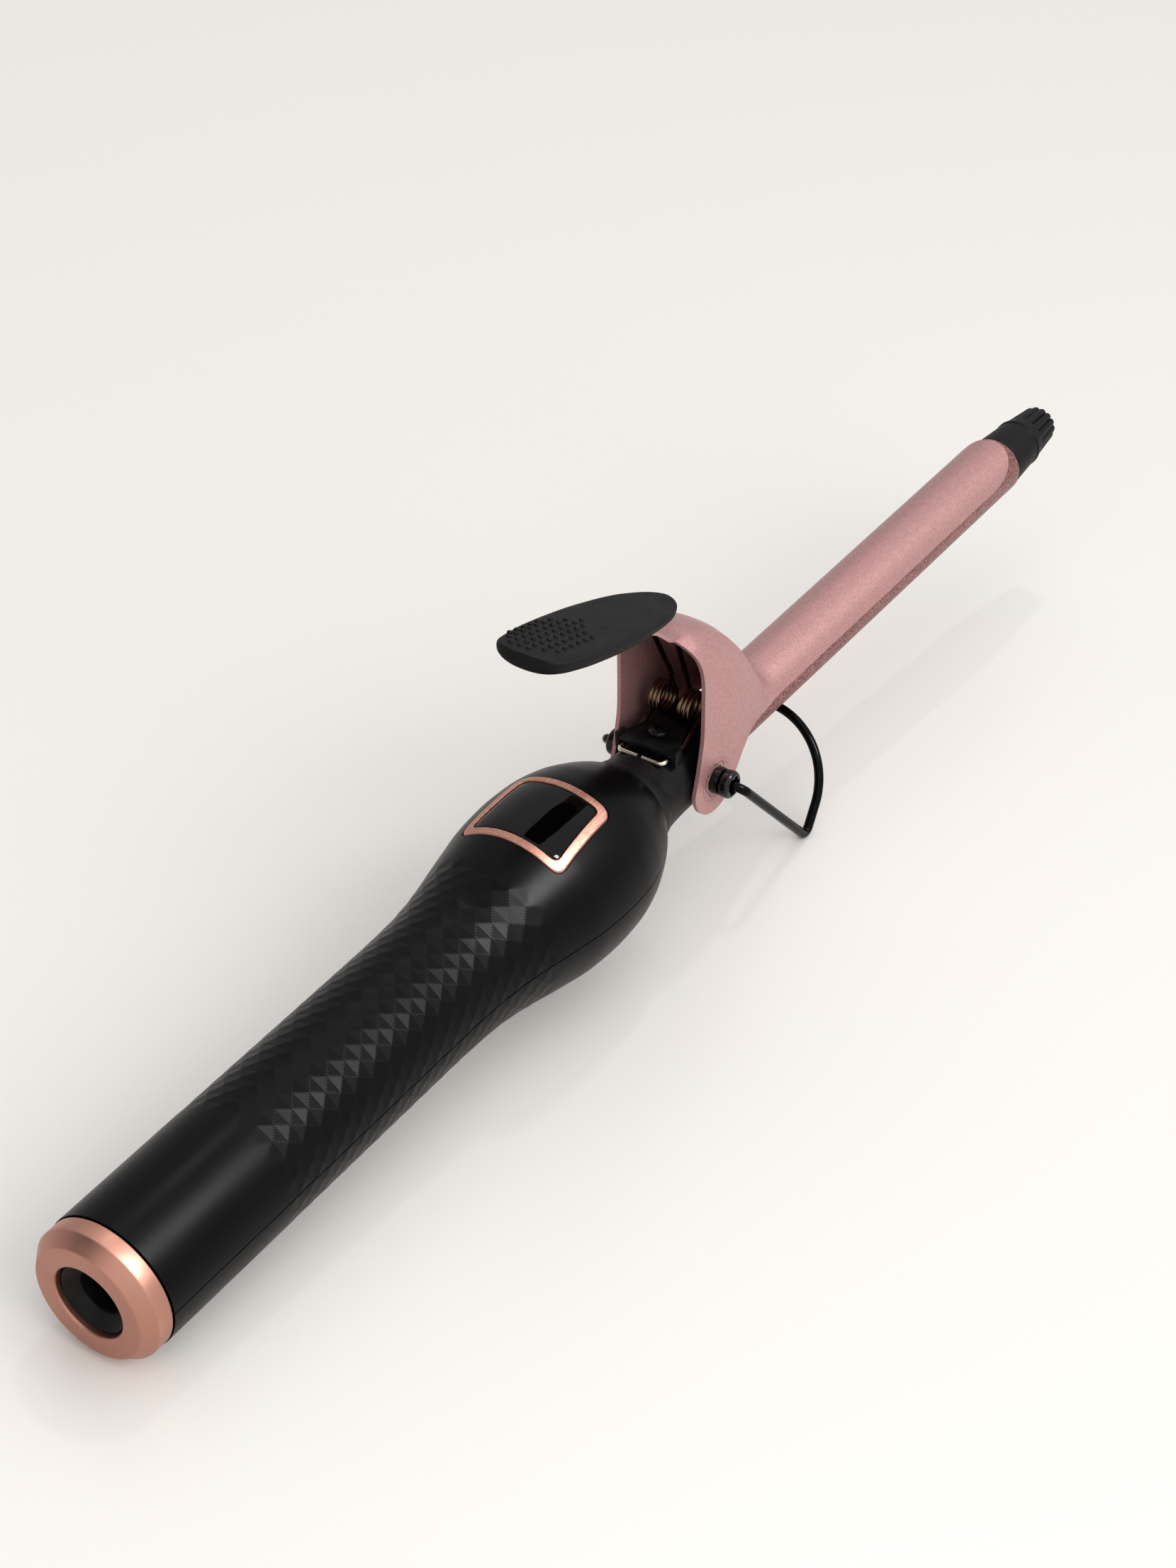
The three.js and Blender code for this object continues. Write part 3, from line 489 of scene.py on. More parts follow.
# Cord swivel: a black nylon sleeve that turns in the ring, held by a washer behind its flange. Two copper
# slip rings on its stem rub on springy contacts, so the lead never twists.
sleeve = turned("swivel_sleeve", eased([
    (3.6, 4.9), (1.4, 7.6), (1.4, 8.05), (5, 8.05), (5, 9.8), (7, 9.8), (7, 6.6), (21, 6.6), (21, 4.9),
], 0.25), 96)
# moulded nylon: matt black, greyer with dust and handling, with a fine even grain
matt_black, tree, shader = finish("moulded_nylon", "#0f0e0f", 0.5, 0.0, 0.16)
place = node(tree, "ShaderNodeTexCoord").outputs["Object"]
dusty = node(tree, "ShaderNodeTexNoise", {"Vector": place, "Scale": 1 / (3.5 * MM), "Detail": 6.0})
tone = node(tree, "ShaderNodeMapRange", {"Value": dusty.outputs["Fac"], "From Min": 0.42, "From Max": 0.72})
tint(tree, shader, tone.outputs["Result"], "#060606", "#151313")
grit = node(tree, "ShaderNodeTexNoise", {"Vector": place, "Scale": 1 / (0.3 * MM), "Detail": 2.0})
surface(tree, shader, grit.outputs["Fac"], 0.5, 0.03)
sleeve.data.materials.append(matt_black)
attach(sleeve, "swivel")
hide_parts("cord_swivel_sleeve")

# Display: a pressed frame of brushed rose aluminium let into the top of the bulge, round a pane of smoked
# acrylic that follows the curve of the handle. The light guide and its board lie under it.


def on_skin(x, y, proud):
    """a point above or below the handle's surface"""
    radius = float(handle_radius(y)) + proud
    return (x, y, math.sqrt(radius * radius - x * x))


def ring_faces(count, rings, first=0):
    return [(first + r * count + i, first + r * count + (i + 1) % count,
             first + (r + 1) * count + (i + 1) % count, first + (r + 1) * count + i)
            for r in range(rings - 1) for i in range(count)]


BEZEL_BORDER = 2.0
bezel_section = eased([(0.0, -1.7), (0.0, 0.16), (BEZEL_BORDER, 0.16), (BEZEL_BORDER, -1.7)], 0.3, 4)
points = []
for inset, proud in bezel_section:
    points += [on_skin(x, y, proud) for x, y in display_outline(inset)]
count = len(display_outline(0))
faces = ring_faces(count, len(bezel_section))
last = (len(bezel_section) - 1) * count
faces += [(last + i, last + (i + 1) % count, (i + 1) % count, i) for i in range(count)]
bezel = piece_of("display_frame", points, faces)
tidy(bezel, 40)
# brushed rose aluminium: fine straight scratches across the frame at a slant, bright where they face the
# lamp
brushed_rose, tree, shader = finish("brushed_rose_aluminium", "#c98b74", 0.46, 1.0)
place = node(tree, "ShaderNodeTexCoord").outputs["Object"]
slant = node(tree, "ShaderNodeMapping", {"Vector": place, "Rotation": (0, 0, math.radians(38)),
                                         "Scale": (1, 0.03, 1)})
lines = node(tree, "ShaderNodeTexNoise", {"Vector": slant.outputs["Vector"], "Scale": 1 / (0.2 * MM),
                                          "Detail": 3.0})
tone = node(tree, "ShaderNodeMapRange", {"Value": lines.outputs["Fac"], "From Min": 0.35, "From Max": 0.65})
tint(tree, shader, tone.outputs["Result"], "#a97463", "#cf9c8b")
surface(tree, shader, lines.outputs["Fac"], 0.5, 0.01)
bezel.data.materials.append(brushed_rose)
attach(bezel, "housing")
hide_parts("display_bezel")

PANE_INSET = BEZEL_BORDER + 0.15
pane_rim = display_outline(PANE_INSET)
middle = Vector((0, 150.3))
rings = [(1.0, -1.7), (1.0, -0.32), (0.996, -0.2), (0.985, -0.14)]
rings += [(k / 12, -0.12) for k in range(11, 0, -1)]
points = [on_skin(middle.x + f * (x - middle.x), middle.y + f * (y - middle.y), proud)
          for f, proud in rings for x, y in pane_rim]
faces = ring_faces(count, len(rings))
top = len(points)
points.append(on_skin(0, middle.y, -0.12))
last = (len(rings) - 1) * count
faces += [(last + i, last + (i + 1) % count, top) for i in range(count)]
faces.append(list(range(count)))
pane = piece_of("display_pane", points, faces)
tidy(pane, 50)
# smoked acrylic: a deep black mirror that shows the pad above it and the white room beside it
smoked_acrylic, tree, shader = finish("smoked_acrylic", "#020203", 0.05, 0.0, 0.16)
place = node(tree, "ShaderNodeTexCoord").outputs["Object"]
breath = node(tree, "ShaderNodeTexNoise", {"Vector": place, "Scale": 1 / (6 * MM), "Detail": 5.0})
rough = node(tree, "ShaderNodeMapRange", {"Value": breath.outputs["Fac"], "From Min": 0.4, "From Max": 0.75,
                                          "To Min": 0.04, "To Max": 0.12})
tree.links.new(rough.outputs["Result"], shader.inputs["Roughness"])
pane.data.materials.append(smoked_acrylic)
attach(pane, "housing")
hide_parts("display_lens")

# Neck: one moulding of glass-filled nylon that plugs into the handle, ends it in a short cone, carries the
# pivots and the spring on its flat, and holds the barrel.
NECK_PROFILE = [
    (168, 8.2), (168, 10.4), (172, 10.4), (172, 13), (175, 13), (175, 10.6), (182.1, 10.6), (182.1, 12.6),
    (187, 11.2), (187, 10.9), (192, 10.45), (196, 10.3), (219.5, 10.3), (219.5, 8.05), (209.2, 8.05),
    (209.2, 4.6),
    (190, 4.6), (186, 8.2),
]
neck = turned("neck_moulding", eased(NECK_PROFILE, 0.3, 2), 96)
carve(neck, [prism([(-15, 190), (15, 190), (15, 208.5), (-15, 208.5)], 9.3, 14)])
for low, high in ((-12, -4.9), (4.9, 12)):
    carve(neck, [prism(circle(PIVOT_Y, 0, 3.9), low, high, "x")])
carve(neck, [prism(circle(0, 198.7, 1.5), 4, 12)])
tidy(neck, 35, outwards=False)
neck.data.materials.clear()
neck.data.materials.append(matt_black)
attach(neck, "housing")
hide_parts("neck_collar")

# Barrel: a drawn aluminium tube under a fired metallic paint, clamped between the neck and the cool tip.
BARREL_START, BARREL_END, BARREL_RADIUS = 209.5, 364.3, 7.75
barrel = turned("barrel", eased([
    (BARREL_START, BARREL_RADIUS - 0.8), (BARREL_START, BARREL_RADIUS), (BARREL_END, BARREL_RADIUS),
    (BARREL_END, BARREL_RADIUS - 0.8),
], 0.2, 2), 128)


def pink_paint(name, dark, light, flake_depth, rough_low, rough_high, rubbed=False):
    """metallic paint: small flakes in a dusky pink coat, each with its own shade and tilt"""
    made, tree, shader = finish(name, "#b28583", 0.4, 0.5, 0.25)
    place = node(tree, "ShaderNodeTexCoord").outputs["Object"]
    flakes = node(tree, "ShaderNodeTexVoronoi", {"Vector": place, "Scale": 1 / (0.34 * MM),
                                                "Randomness": 1.0})
    shine = node(tree, "ShaderNodeSeparateColor", {"Color": flakes.outputs["Color"]})
    shade = node(tree, "ShaderNodeMix", {0: shine.outputs["Red"], 6: linear(dark), 7: linear(light)},
                 data_type="RGBA")
    if rubbed:
        # thin dark arcs where the bush's washer has rubbed the paint of the ears
        away = node(tree, "ShaderNodeVectorMath", {0: place, 1: tuple(pivot)}, operation="SUBTRACT")
        flat = node(tree, "ShaderNodeVectorMath", {0: away.outputs["Vector"], 1: (0.0, 1.0, 1.0)},
                    operation="MULTIPLY")
        reach = node(tree, "ShaderNodeVectorMath", {0: flat.outputs["Vector"]}, operation="LENGTH")
        wander = node(tree, "ShaderNodeTexNoise", {"Vector": place, "Scale": 1 / (3 * MM), "Detail": 4.0})
        ring = node(tree, "ShaderNodeMath", {0: wander.outputs["Fac"], 1: 3.2 * MM,
                                             2: reach.outputs["Value"]}, operation="MULTIPLY_ADD")
        near = node(tree, "ShaderNodeMapRange", {"Value": reach.outputs["Value"], "From Min": 4.2 * MM,
                                                 "From Max": 6.2 * MM, "To Min": 1.0, "To Max": 0.0})
        arcs = node(tree, "ShaderNodeTexWave", {"Vector": node(tree, "ShaderNodeCombineXYZ", {
            "X": ring.outputs["Value"]}).outputs["Vector"], "Scale": 1 / (3.4 * MM), "Distortion": 0.6})
        thin = node(tree, "ShaderNodeMapRange", {"Value": arcs.outputs["Fac"], "From Min": 0.62,
                                                 "From Max": 0.9, "To Min": 0.0, "To Max": 0.85})
        worn = node(tree, "ShaderNodeMath", {0: thin.outputs["Result"], 1: near.outputs["Result"]},
                    operation="MULTIPLY")
        shade = node(tree, "ShaderNodeMix", {0: worn.outputs["Value"], 6: shade.outputs[2],
                                             7: linear("#4a2a2d")}, data_type="RGBA")
    tree.links.new(shade.outputs[2], shader.inputs["Base Color"])
    surface(tree, shader, shine.outputs["Blue"], 0.6, flake_depth,
            (shine.outputs["Green"], 0.0, 1.0, rough_low, rough_high))
    return made


barrel_paint = pink_paint("metallic_paint", "#4c2826", "#a0716e", 0.09, 0.34, 0.56)
barrel.data.materials.append(barrel_paint)
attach(barrel, "housing")
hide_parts("barrel_tube")

# Cool tip: moulded in black phenolic that stays cool to hold, a short cone with a small collar and a fluted
# end for the fingers, screwed on from inside.
TIP_RING, TIP_END, FLUTES = 378.0, 391.0, 14
cone = turned("tip_cone", eased([
    (358, 1.8), (358, 6.65), (364.6, 6.65), (364.6, 7.5), (377.1, 6.55), (377.3, 6.78), (378.2, 6.78),
    (378.4, 6.3),
    (381, 6.1), (381, 1.8),
], 0.2), 112)
around = FLUTES * 12
fluted = [(TIP_RING - 0.4, 0)] + [(y, 0) for y in np.linspace(TIP_RING, TIP_END - 1.2, 8)]
fluted += [(TIP_END - 0.75, 0.07), (TIP_END - 0.35, 0.24), (TIP_END - 0.1, 0.5), (TIP_END, 0.85)]
points = []
for y, edge in fluted:
    for i in range(around):
        turn = 2 * math.pi * i / around
        wave = abs(math.sin(FLUTES * turn / 2)) ** 0.55
        radius = 6.5 + (5.05 - 6.5) * (y - TIP_RING) / (TIP_END - TIP_RING) - edge - 0.75 * (1 - wave)
        points.append((radius * math.sin(turn), y, radius * math.cos(turn)))
faces = ring_faces(around, len(fluted))
faces += [list(range(around)), list(range(len(points) - around, len(points)))]
grip = piece_of("tip_grip", points, faces)
tidy(grip, 60)
carve(cone, [grip], "UNION")
tidy(cone, 40, outwards=False)
# moulded phenolic: black, a little greyed, dull with a faint sheen on the flutes
phenolic, tree, shader = finish("moulded_phenolic", "#060607", 0.42, 0.0, 0.14)
place = node(tree, "ShaderNodeTexCoord").outputs["Object"]
grain = node(tree, "ShaderNodeTexNoise", {"Vector": place, "Scale": 1 / (0.35 * MM), "Detail": 3.0})
surface(tree, shader, grain.outputs["Fac"], 0.4, 0.02,
        (grain.outputs["Fac"], 0.3, 0.7, 0.42, 0.56))
cone.data.materials.clear()
cone.data.materials.append(phenolic)
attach(cone, "housing")
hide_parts("tip_cap")

# Clip: pressed from 1 mm spring steel sheet, thinned to 0.6 mm where it lies on the barrel, and painted
# like it. Its two ears straddle the neck, the arch joins them, and a tongue welded to the crown carries the
# thumb rest.
CLIP_STATIONS = [
    (188, 12, 29, 42.2, 2.7), (200, 12, 29, 41.9, 2.7), (206, 12, 28, 40.1, 2.7), (212, 11.9, 25, 36.9, 2.6),
    (218, 11.5, 19.8, 31.2, 2.5), (224, 10.4, 13.3, 23.9, 2.35), (229, 9.4, 7.6, 17.4, 2.2),
    (233.5, 8.8, 2.6, 11.8, 2.1), (237, 8.6, 0.3, 9.0, 2), (240, 8.6, 0, 8.6, 2), (290, 8.6, 0, 8.6, 2),
    (370, 8.6, 0, 8.6, 2),
]
ARCH_STEPS = 96


def pressed_rib(y, angle):
    """height of the soft rib from the crown down each flank, and of the pressed boss at its foot"""
    rib_angle = float(np.interp(y, (206, 214, 222, 228, 232), (0.55, 0.75, 1.0, 1.25, 1.42)))
    fade = float(np.interp(y, (206, 213, 230, 234), (0, 1, 1, 0)))
    rib = 0.55 * fade * math.exp(-((angle - rib_angle) / 0.1) ** 2)
    boss = 0.7 * math.exp(-((y - 231) / 2.2) ** 2 - ((angle - 1.42) / 0.14) ** 2)
    return rib + boss


def clip_form(inset):
    """the solid under the clip's skin, inset sheets below its outer face"""
    rows = [188 - inset] + list(np.linspace(189, 244, 74)) + [300, 370 + inset]
    points = []
    for y in rows:
        half_width, shoulder, crown, power = (float(smooth_through([(s[0], s[k]) for s in CLIP_STATIONS], y))
                                              for k in (1, 2, 3, 4))
        skin = inset * float(np.interp(y, (206, 240), (1.0, 0.6)))
        wide = half_width - skin
        points.append((wide, y, -14 - inset))
        for i in range(ARCH_STEPS + 1):
            angle = math.pi * (0.5 - i / ARCH_STEPS)
            across = math.copysign(abs(math.sin(angle)) ** (2 / power), math.sin(angle))
            upward = max(math.cos(angle), 0) ** (2 / power)
            x, z = wide * across, shoulder + (crown - skin - shoulder) * upward
            lift = pressed_rib(y, abs(angle)) / math.hypot(x, z - shoulder + 7)
            points.append((x + lift * x, y, z + lift * (z - shoulder + 7)))
        points.append((-wide, y, -14 - inset))
    count = ARCH_STEPS + 3
    faces = ring_faces(count, len(rows))
    faces += [list(range(count)), list(range(len(points) - count, len(points)))]
    made = piece_of("clip_form", points, faces)
    tidy(made, 180)
    return made


def clip_outline():
    """side view of the clip as [y, z]: bowed rear edge, round ears, straight lower edge, round front end"""
    rear = [(43, 195.4), (39.6, 197.2), (35, 199), (28, 199.9), (16, 199.6), (6, 197.6), (0, 195.7)][::-1]
    outline = [(195, 60)] + [(float(smooth_through(rear, z)), z) for z in np.linspace(43, 0, 30)]
    for degrees in range(185, 326, 5):
        angle = math.radians(degrees)
        outline.append((PIVOT_Y + 8.8 * math.cos(angle), 8.8 * math.sin(angle)))
    lower = [(211.71, -5.05), (214.5, -2.4), (218, 1), (222.5, 3.0), (227, 2.9), (232, 2.2)]
    outline += [(y, float(smooth_through(lower, y))) for y in np.linspace(212.2, 232, 24)]
    wrap = math.acos(2.2 / 8.6)
    for i in range(24, -1, -1):
        share = math.sin(math.pi / 2 * i / 24)
        back = 15 * (1 - (1 - share ** 2.3) ** (1 / 2.3))
        outline.append((362.4 - back, 8.6 * math.cos(share * wrap)))
    return outline + [(362.4, 60)]


clip = clip_form(0)
carve(clip, [clip_form(1)])
carve(clip, [prism(clip_outline(), -20, 20, "x")], "INTERSECT")
tongue = [(204, 40.15), (200, 41.35), (196.5, 42.4), (193, 44.3), (189.5, 47.1), (186, 49.8), (182.5, 51.7),
          (178, 53.2), (158, 58.2)]
tongue = [(y, float(smooth_through(tongue[::-1], y))) for y in np.linspace(204, 158, 40)]
points = []
for y, z in tongue:
    bent = float(smooth_through([(184, 0), (186, 0), (198, 1), (204, 1)], y))
    half = 8 - 1.8 * bent
    sagged = [(x, z - bent * 12.5 * (1 - (1 - abs(x / 12) ** 2.7) ** (1 / 2.7)))
              for x in np.linspace(-half, half, 17)]
    points += [(x, y, high + 0.5) for x, high in sagged]
    points += [(x, y, high - 0.5) for x, high in reversed(sagged)]
faces = ring_faces(34, len(tongue))
faces += [list(range(34)), list(range(len(points) - 34, len(points)))]
strap = piece_of("tongue", points, faces)
tidy(strap, 60)
carve(clip, [strap], "UNION")
carve(clip, [prism(circle(PIVOT_Y, 0, 2.9), -20, 20, "x")])
tidy(clip, 40, outwards=False)
clip_paint = pink_paint("metallic_paint_on_sheet", "#a37876", "#b48a88", 0.004, 0.36, 0.46, rubbed=True)
clip.data.materials.clear()
clip.data.materials.append(clip_paint)
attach(clip, "clamp")
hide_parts("clamp_plate")

# Thumb rest: a boat-shaped pad moulded in soft-touch coated ABS round the tongue of the clip. Its flat top
# has a field of small raised dots at the left rear, where the thumb presses.
PAD_SLOPE = math.atan(0.25)
PAD_EDGE = 0.9  # height of the rounded edge above the widest line
PAD_STATIONS = [
    (-28.4, 2.6, 3.0), (-28.2, 4.6, 3.4), (-27.6, 6.6, 3.9), (-26.4, 8.0, 4.4), (-24.4, 8.9, 4.8),
    (-21.2, 9.5, 5.2),
    (-15, 10.3, 5.3), (-8, 10.5, 5.2), (0, 10.3, 4.6), (7.6, 9.5, 3.8), (15.4, 8.0, 3.0), (20.6, 5.7, 2.5),
    (22.6, 4.3, 2.2), (24.1, 2.4, 1.8), (24.6, 0.9, 1.5),
]  # forward of the middle, half width, depth
PAD_SKEW = 0.05  # the pad sits a little askew on its tongue
DOT_ROWS = [
    (-8.7, -21.1, 5), (-7.5, -22.9, 7), (-5.4, -25.2, 9), (-3.1, -25.1, 10), (-0.8, -25.2, 9),
    (1.8, -23.2, 7),
    (4.3, -21.7, 6),
]  # across, rearmost dot, number of dots


def on_pad(across, forward, high):
    """a point by the pad's own axes: across it, towards its front end, and above its flat top"""
    return (across + forward * PAD_SKEW,
            176.6 + forward * math.cos(PAD_SLOPE) + high * math.sin(PAD_SLOPE),
            55.75 - forward * math.sin(PAD_SLOPE) + high * math.cos(PAD_SLOPE))


pad_around = 112
pad_rows = [-28.4 + 53 * (0.5 - 0.5 * math.cos(math.pi * k / 64)) for k in range(65)]
points = []
for forward in pad_rows:
    wide = float(smooth_through([(f, w) for f, w, d in PAD_STATIONS], forward))
    deep = float(smooth_through([(f, d) for f, w, d in PAD_STATIONS], forward))
    for i in range(pad_around):
        turn = 2 * math.pi * i / pad_around
        cosine, sine = math.cos(turn), math.sin(turn)
        if sine >= 0:
            across = math.copysign(abs(cosine) ** 0.28, cosine)
            high = PAD_EDGE * (sine ** 0.5 - 1)
        else:
            across = math.copysign(abs(cosine) ** 0.9, cosine)
            high = -PAD_EDGE - (deep - PAD_EDGE) * abs(sine) ** 0.85
        points.append(on_pad(wide * across, forward, high))
faces = ring_faces(pad_around, len(pad_rows))
faces += [list(range(pad_around)), list(range(len(points) - pad_around, len(points)))]
pad = piece_of("thumb_pad", points, faces)
tidy(pad, 50)
# soft-touch coat on ABS: a velvety black that scatters what little light it gives back
soft_touch, tree, shader = finish("soft_touch_coat", "#0a0a0b", 0.45, 0.0, 0.15)
place = node(tree, "ShaderNodeTexCoord").outputs["Object"]
velvet = node(tree, "ShaderNodeTexNoise", {"Vector": place, "Scale": 1 / (0.25 * MM), "Detail": 2.0})
wear = node(tree, "ShaderNodeTexNoise", {"Vector": place, "Scale": 1 / (9 * MM), "Detail": 5.0})
surface(tree, shader, velvet.outputs["Fac"], 0.4, 0.02,
        (wear.outputs["Fac"], 0.3, 0.7, 0.5, 0.64))
pad.data.materials.append(soft_touch)
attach(pad, "clamp")
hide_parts("thumb_rest")


def add_tree(piece, tree_name, sizes, make):
    """gives a piece a Geometry Nodes tree with named sizes, settles it into a mesh and leaves no modifier"""
    tree = bpy.data.node_groups.new(tree_name, "GeometryNodeTree")
    tree.interface.new_socket("Geometry", in_out="INPUT", socket_type="NodeSocketGeometry")
    sockets = {}
    for name, (kind, value) in sizes.items():
        sockets[name] = tree.interface.new_socket(name, in_out="INPUT", socket_type=kind)
    tree.interface.new_socket("Geometry", in_out="OUTPUT", socket_type="NodeSocketGeometry")
    given = node(tree, "NodeGroupInput").outputs
    node(tree, "NodeGroupOutput", {"Geometry": make(tree, given)})
    modifier = piece.modifiers.new(tree_name, "NODES")
    modifier.node_group = tree
    for name, (kind, value) in sizes.items():
        modifier[sockets[name].identifier] = value
    plain(piece)


def dots_on_points(tree, given):
    dot = node(tree, "GeometryNodeMeshUVSphere", {"Segments": 14, "Rings": 8, "Radius": given["Dot radius"]})
    flat = node(tree, "GeometryNodeTransform", {"Geometry": dot.outputs["Mesh"], "Scale": (1, 1, 0.85)})
    spread = node(tree, "GeometryNodeInstanceOnPoints", {
        "Points": given["Geometry"], "Instance": flat.outputs["Geometry"], "Rotation": given["Tilt"]})
    real = node(tree, "GeometryNodeRealizeInstances", {"Geometry": spread.outputs["Instances"]})
    smooth = node(tree, "GeometryNodeSetShadeSmooth", {"Geometry": real.outputs["Geometry"]})
    return node(tree, "GeometryNodeSetMaterial", {
        "Geometry": smooth.outputs["Geometry"], "Material": given["Coat"]}).outputs["Geometry"]


DOT_PITCH = 2.45
dot_places = []
for across, first, number in DOT_ROWS:
    for k in range(number):
        forward = first + k * DOT_PITCH
        dot_places.append(on_pad(across, forward, -0.02))
dots = piece_of("thumb_pad_dots", dot_places, [])
add_tree(dots, "raised_dots", {
    "Dot radius": ("NodeSocketFloat", 0.6 * MM),
    "Tilt": ("NodeSocketRotation", (math.atan2(along.z, along.y) - PAD_SLOPE, 0.0, 0.0)),
    "Coat": ("NodeSocketMaterial", soft_touch),
}, dots_on_points)
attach(dots, "clamp")

# Pivots: on each side a glossy black bush screwed into a brass insert in the neck, with a washer under its
# head. Its socket takes the driver, and then the end of the stand's wire. polished nylon: glossy black that
# wears a small sharp highlight on its rim
gloss_black, tree, shader = finish("polished_nylon", "#050506", 0.18, 0.0, 0.3)
place = node(tree, "ShaderNodeTexCoord").outputs["Object"]
wear = node(tree, "ShaderNodeTexNoise", {"Vector": place, "Scale": 1 / (1.2 * MM), "Detail": 4.0})
surface(tree, shader, wear.outputs["Fac"], 0.4, 0.03,
        (wear.outputs["Fac"], 0.35, 0.7, 0.14, 0.32))
for side, hand in ((-1, "left"), (1, "right")):
    def across_x(place, across, high, side=side):
        return (side * place, PIVOT_Y + across, high)

    bush = turned(f"bush_{hand}", eased([
        (5.5, 1.5), (5.5, 2.6), (14.0, 2.6), (14.3, 2.75), (14.5, 3.2), (15.0, 3.4), (16.4, 3.4), (17, 2.9),
        (17, 1.5),
    ], 0.4), 56, across_x)
    star = [(PIVOT_Y + r * math.cos(a), r * math.sin(a))
            for k in range(24) for r, a in [((2.45, 2.3, 1.85, 2.3)[k % 4], math.pi * k / 12)]]
    carve(bush, [prism(star, min(side * 15.7, side * 18), max(side * 15.7, side * 18), "x")])
    tidy(bush, 35, outwards=False)
    washer_profile = eased([(12.3, 2.9), (12.3, 3.3), (13.9, 3.3), (13.9, 2.9)], 0.15, 2)
    washer = turned(f"washer_{hand}", washer_profile, 56, across_x)
    for piece, cad_name in ((bush, f"pivot_bush_{hand}"), (washer, f"pivot_spacer_{hand}")):
        piece.data.materials.clear()
        piece.data.materials.append(gloss_black)
        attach(piece, "housing")
        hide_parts(cad_name)

# Spring: one length of 1.2 mm hard-drawn wire wound into two coils side by side. Its legs are hooked under
# the crown of the clip, and its two bent ends bear on the neck behind the retainer.
SPRING_WIRE = 0.6  # radius
COIL_Y, COIL_Z, COIL_RADIUS, COIL_TURNS = 208.4, 15.0, 3.5, 3


def round_corners(corners, radii, steps=8):
    """a path of straight runs with a bend of the given radius at each corner between them"""
    corners = [Vector(c) for c in corners]
    path = [corners[0]]
    for before, here, after, radius in zip(corners, corners[1:], corners[2:], radii):
        into, out = (before - here).normalized(), (after - here).normalized()
        half_angle = into.angle(out) / 2
        centre = here + (into + out).normalized() * (radius / math.sin(half_angle))
        start = here + into * (radius / math.tan(half_angle)) - centre
        end = here + out * (radius / math.tan(half_angle)) - centre
        sweep = start.angle(end)
        for k in range(steps + 1):
            t = k / steps
            path.append(centre + start * (math.sin((1 - t) * sweep) / math.sin(sweep))
                        + end * (math.sin(t * sweep) / math.sin(sweep)))
    return path + [corners[-1]]


def spring_half(side, coil_start, coil_end, leg):
    """from a bent rear end through the coil and up the leg, for one side"""
    ends = round_corners([(0.6, 190.8, 10.2), (5.9, 190.8, 10.2), (6.4, 199, 10.2),
                          (coil_start, 205.4, 10.9)], [1.3, 8])
    coil = []
    total = COIL_TURNS * 28 + 10
    for i in range(total + 1):
        angle = 2 * math.pi * i / 28 - math.pi / 2
        x = coil_start + (coil_end - coil_start) * i / total
        coil.append((x, COIL_Y + COIL_RADIUS * math.cos(angle), COIL_Z + COIL_RADIUS * math.sin(angle)))
    return [(side * p[0], p[1], p[2]) for p in [*ends[:-1], *coil, *round_corners(leg, [6, 20, 2])[1:]]]


def wire_through(tree, given):
    path = node(tree, "GeometryNodeMeshToCurve", {"Mesh": given["Geometry"]})
    section = node(tree, "GeometryNodeCurvePrimitiveCircle",
                   {"Resolution": 20, "Radius": given["Wire radius"]})
    rod = node(tree, "GeometryNodeCurveToMesh", {
        "Curve": path.outputs["Curve"], "Profile Curve": section.outputs["Curve"], "Fill Caps": True})
    smooth = node(tree, "GeometryNodeSetShadeSmooth", {"Geometry": rod.outputs["Mesh"]})
    real = node(tree, "GeometryNodeRealizeInstances", {"Geometry": smooth.outputs["Geometry"]})
    return node(tree, "GeometryNodeSetMaterial", {
        "Geometry": real.outputs["Geometry"], "Material": given["Coat"]}).outputs["Geometry"]


def wire_piece(name, path, radius, coat):
    made = piece_of(name, path, [], [(i, i + 1) for i in range(len(path) - 1)])
    add_tree(made, name + "_wire", {
        "Wire radius": ("NodeSocketFloat", radius * MM),
        "Coat": ("NodeSocketMaterial", coat),
    }, wire_through)
    tidy(made, 40)
    return made


# hard-drawn spring wire, nickel plated: bright on the bent ends and tarnished to bronze in the coils, with a
# hard gleam along every turn; painted shade darkens it to nearly black up the legs, under the clip's crown
spring_wire, tree, shader = finish("nickel_plated_spring_wire", "#a89a86", 0.22, 1.0)
place = node(tree, "ShaderNodeTexCoord").outputs["Object"]
axes = node(tree, "ShaderNodeSeparateXYZ", {"Vector": place})
patches = node(tree, "ShaderNodeTexNoise", {"Vector": place, "Scale": 1 / (1.6 * MM), "Detail": 4.0})
in_coil = node(tree, "ShaderNodeMapRange",
               {"Value": axes.outputs["Y"], "From Min": 2 * MM, "From Max": 8 * MM})
# painted shade: the wire turns nearly black with height, up the legs under the crown of the clip
leg_painted_shade = node(tree, "ShaderNodeMapRange",
              {"Value": axes.outputs["Z"], "From Min": 50 * MM, "From Max": 58 * MM})
bronze = node(tree, "ShaderNodeMix", {0: patches.outputs["Fac"], 6: linear("#8a7460"), 7: linear("#5b4838")},
              data_type="RGBA")
shade = node(tree, "ShaderNodeMix", {0: in_coil.outputs["Result"], 6: linear("#cfc6b8"),
                                     7: bronze.outputs[2]}, data_type="RGBA")
# the painted shade up the legs is mixed in over the wire's colour
shade = node(tree, "ShaderNodeMix", {0: leg_painted_shade.outputs["Result"], 6: shade.outputs[2], 7: linear("#1d1512")},
             data_type="RGBA")
tree.links.new(shade.outputs[2], shader.inputs["Base Color"])
rough = node(tree, "ShaderNodeMapRange", {"Value": patches.outputs["Fac"], "From Min": 0.3, "From Max": 0.7,
                                          "To Min": 0.12, "To Max": 0.3})
tree.links.new(rough.outputs["Result"], shader.inputs["Roughness"])
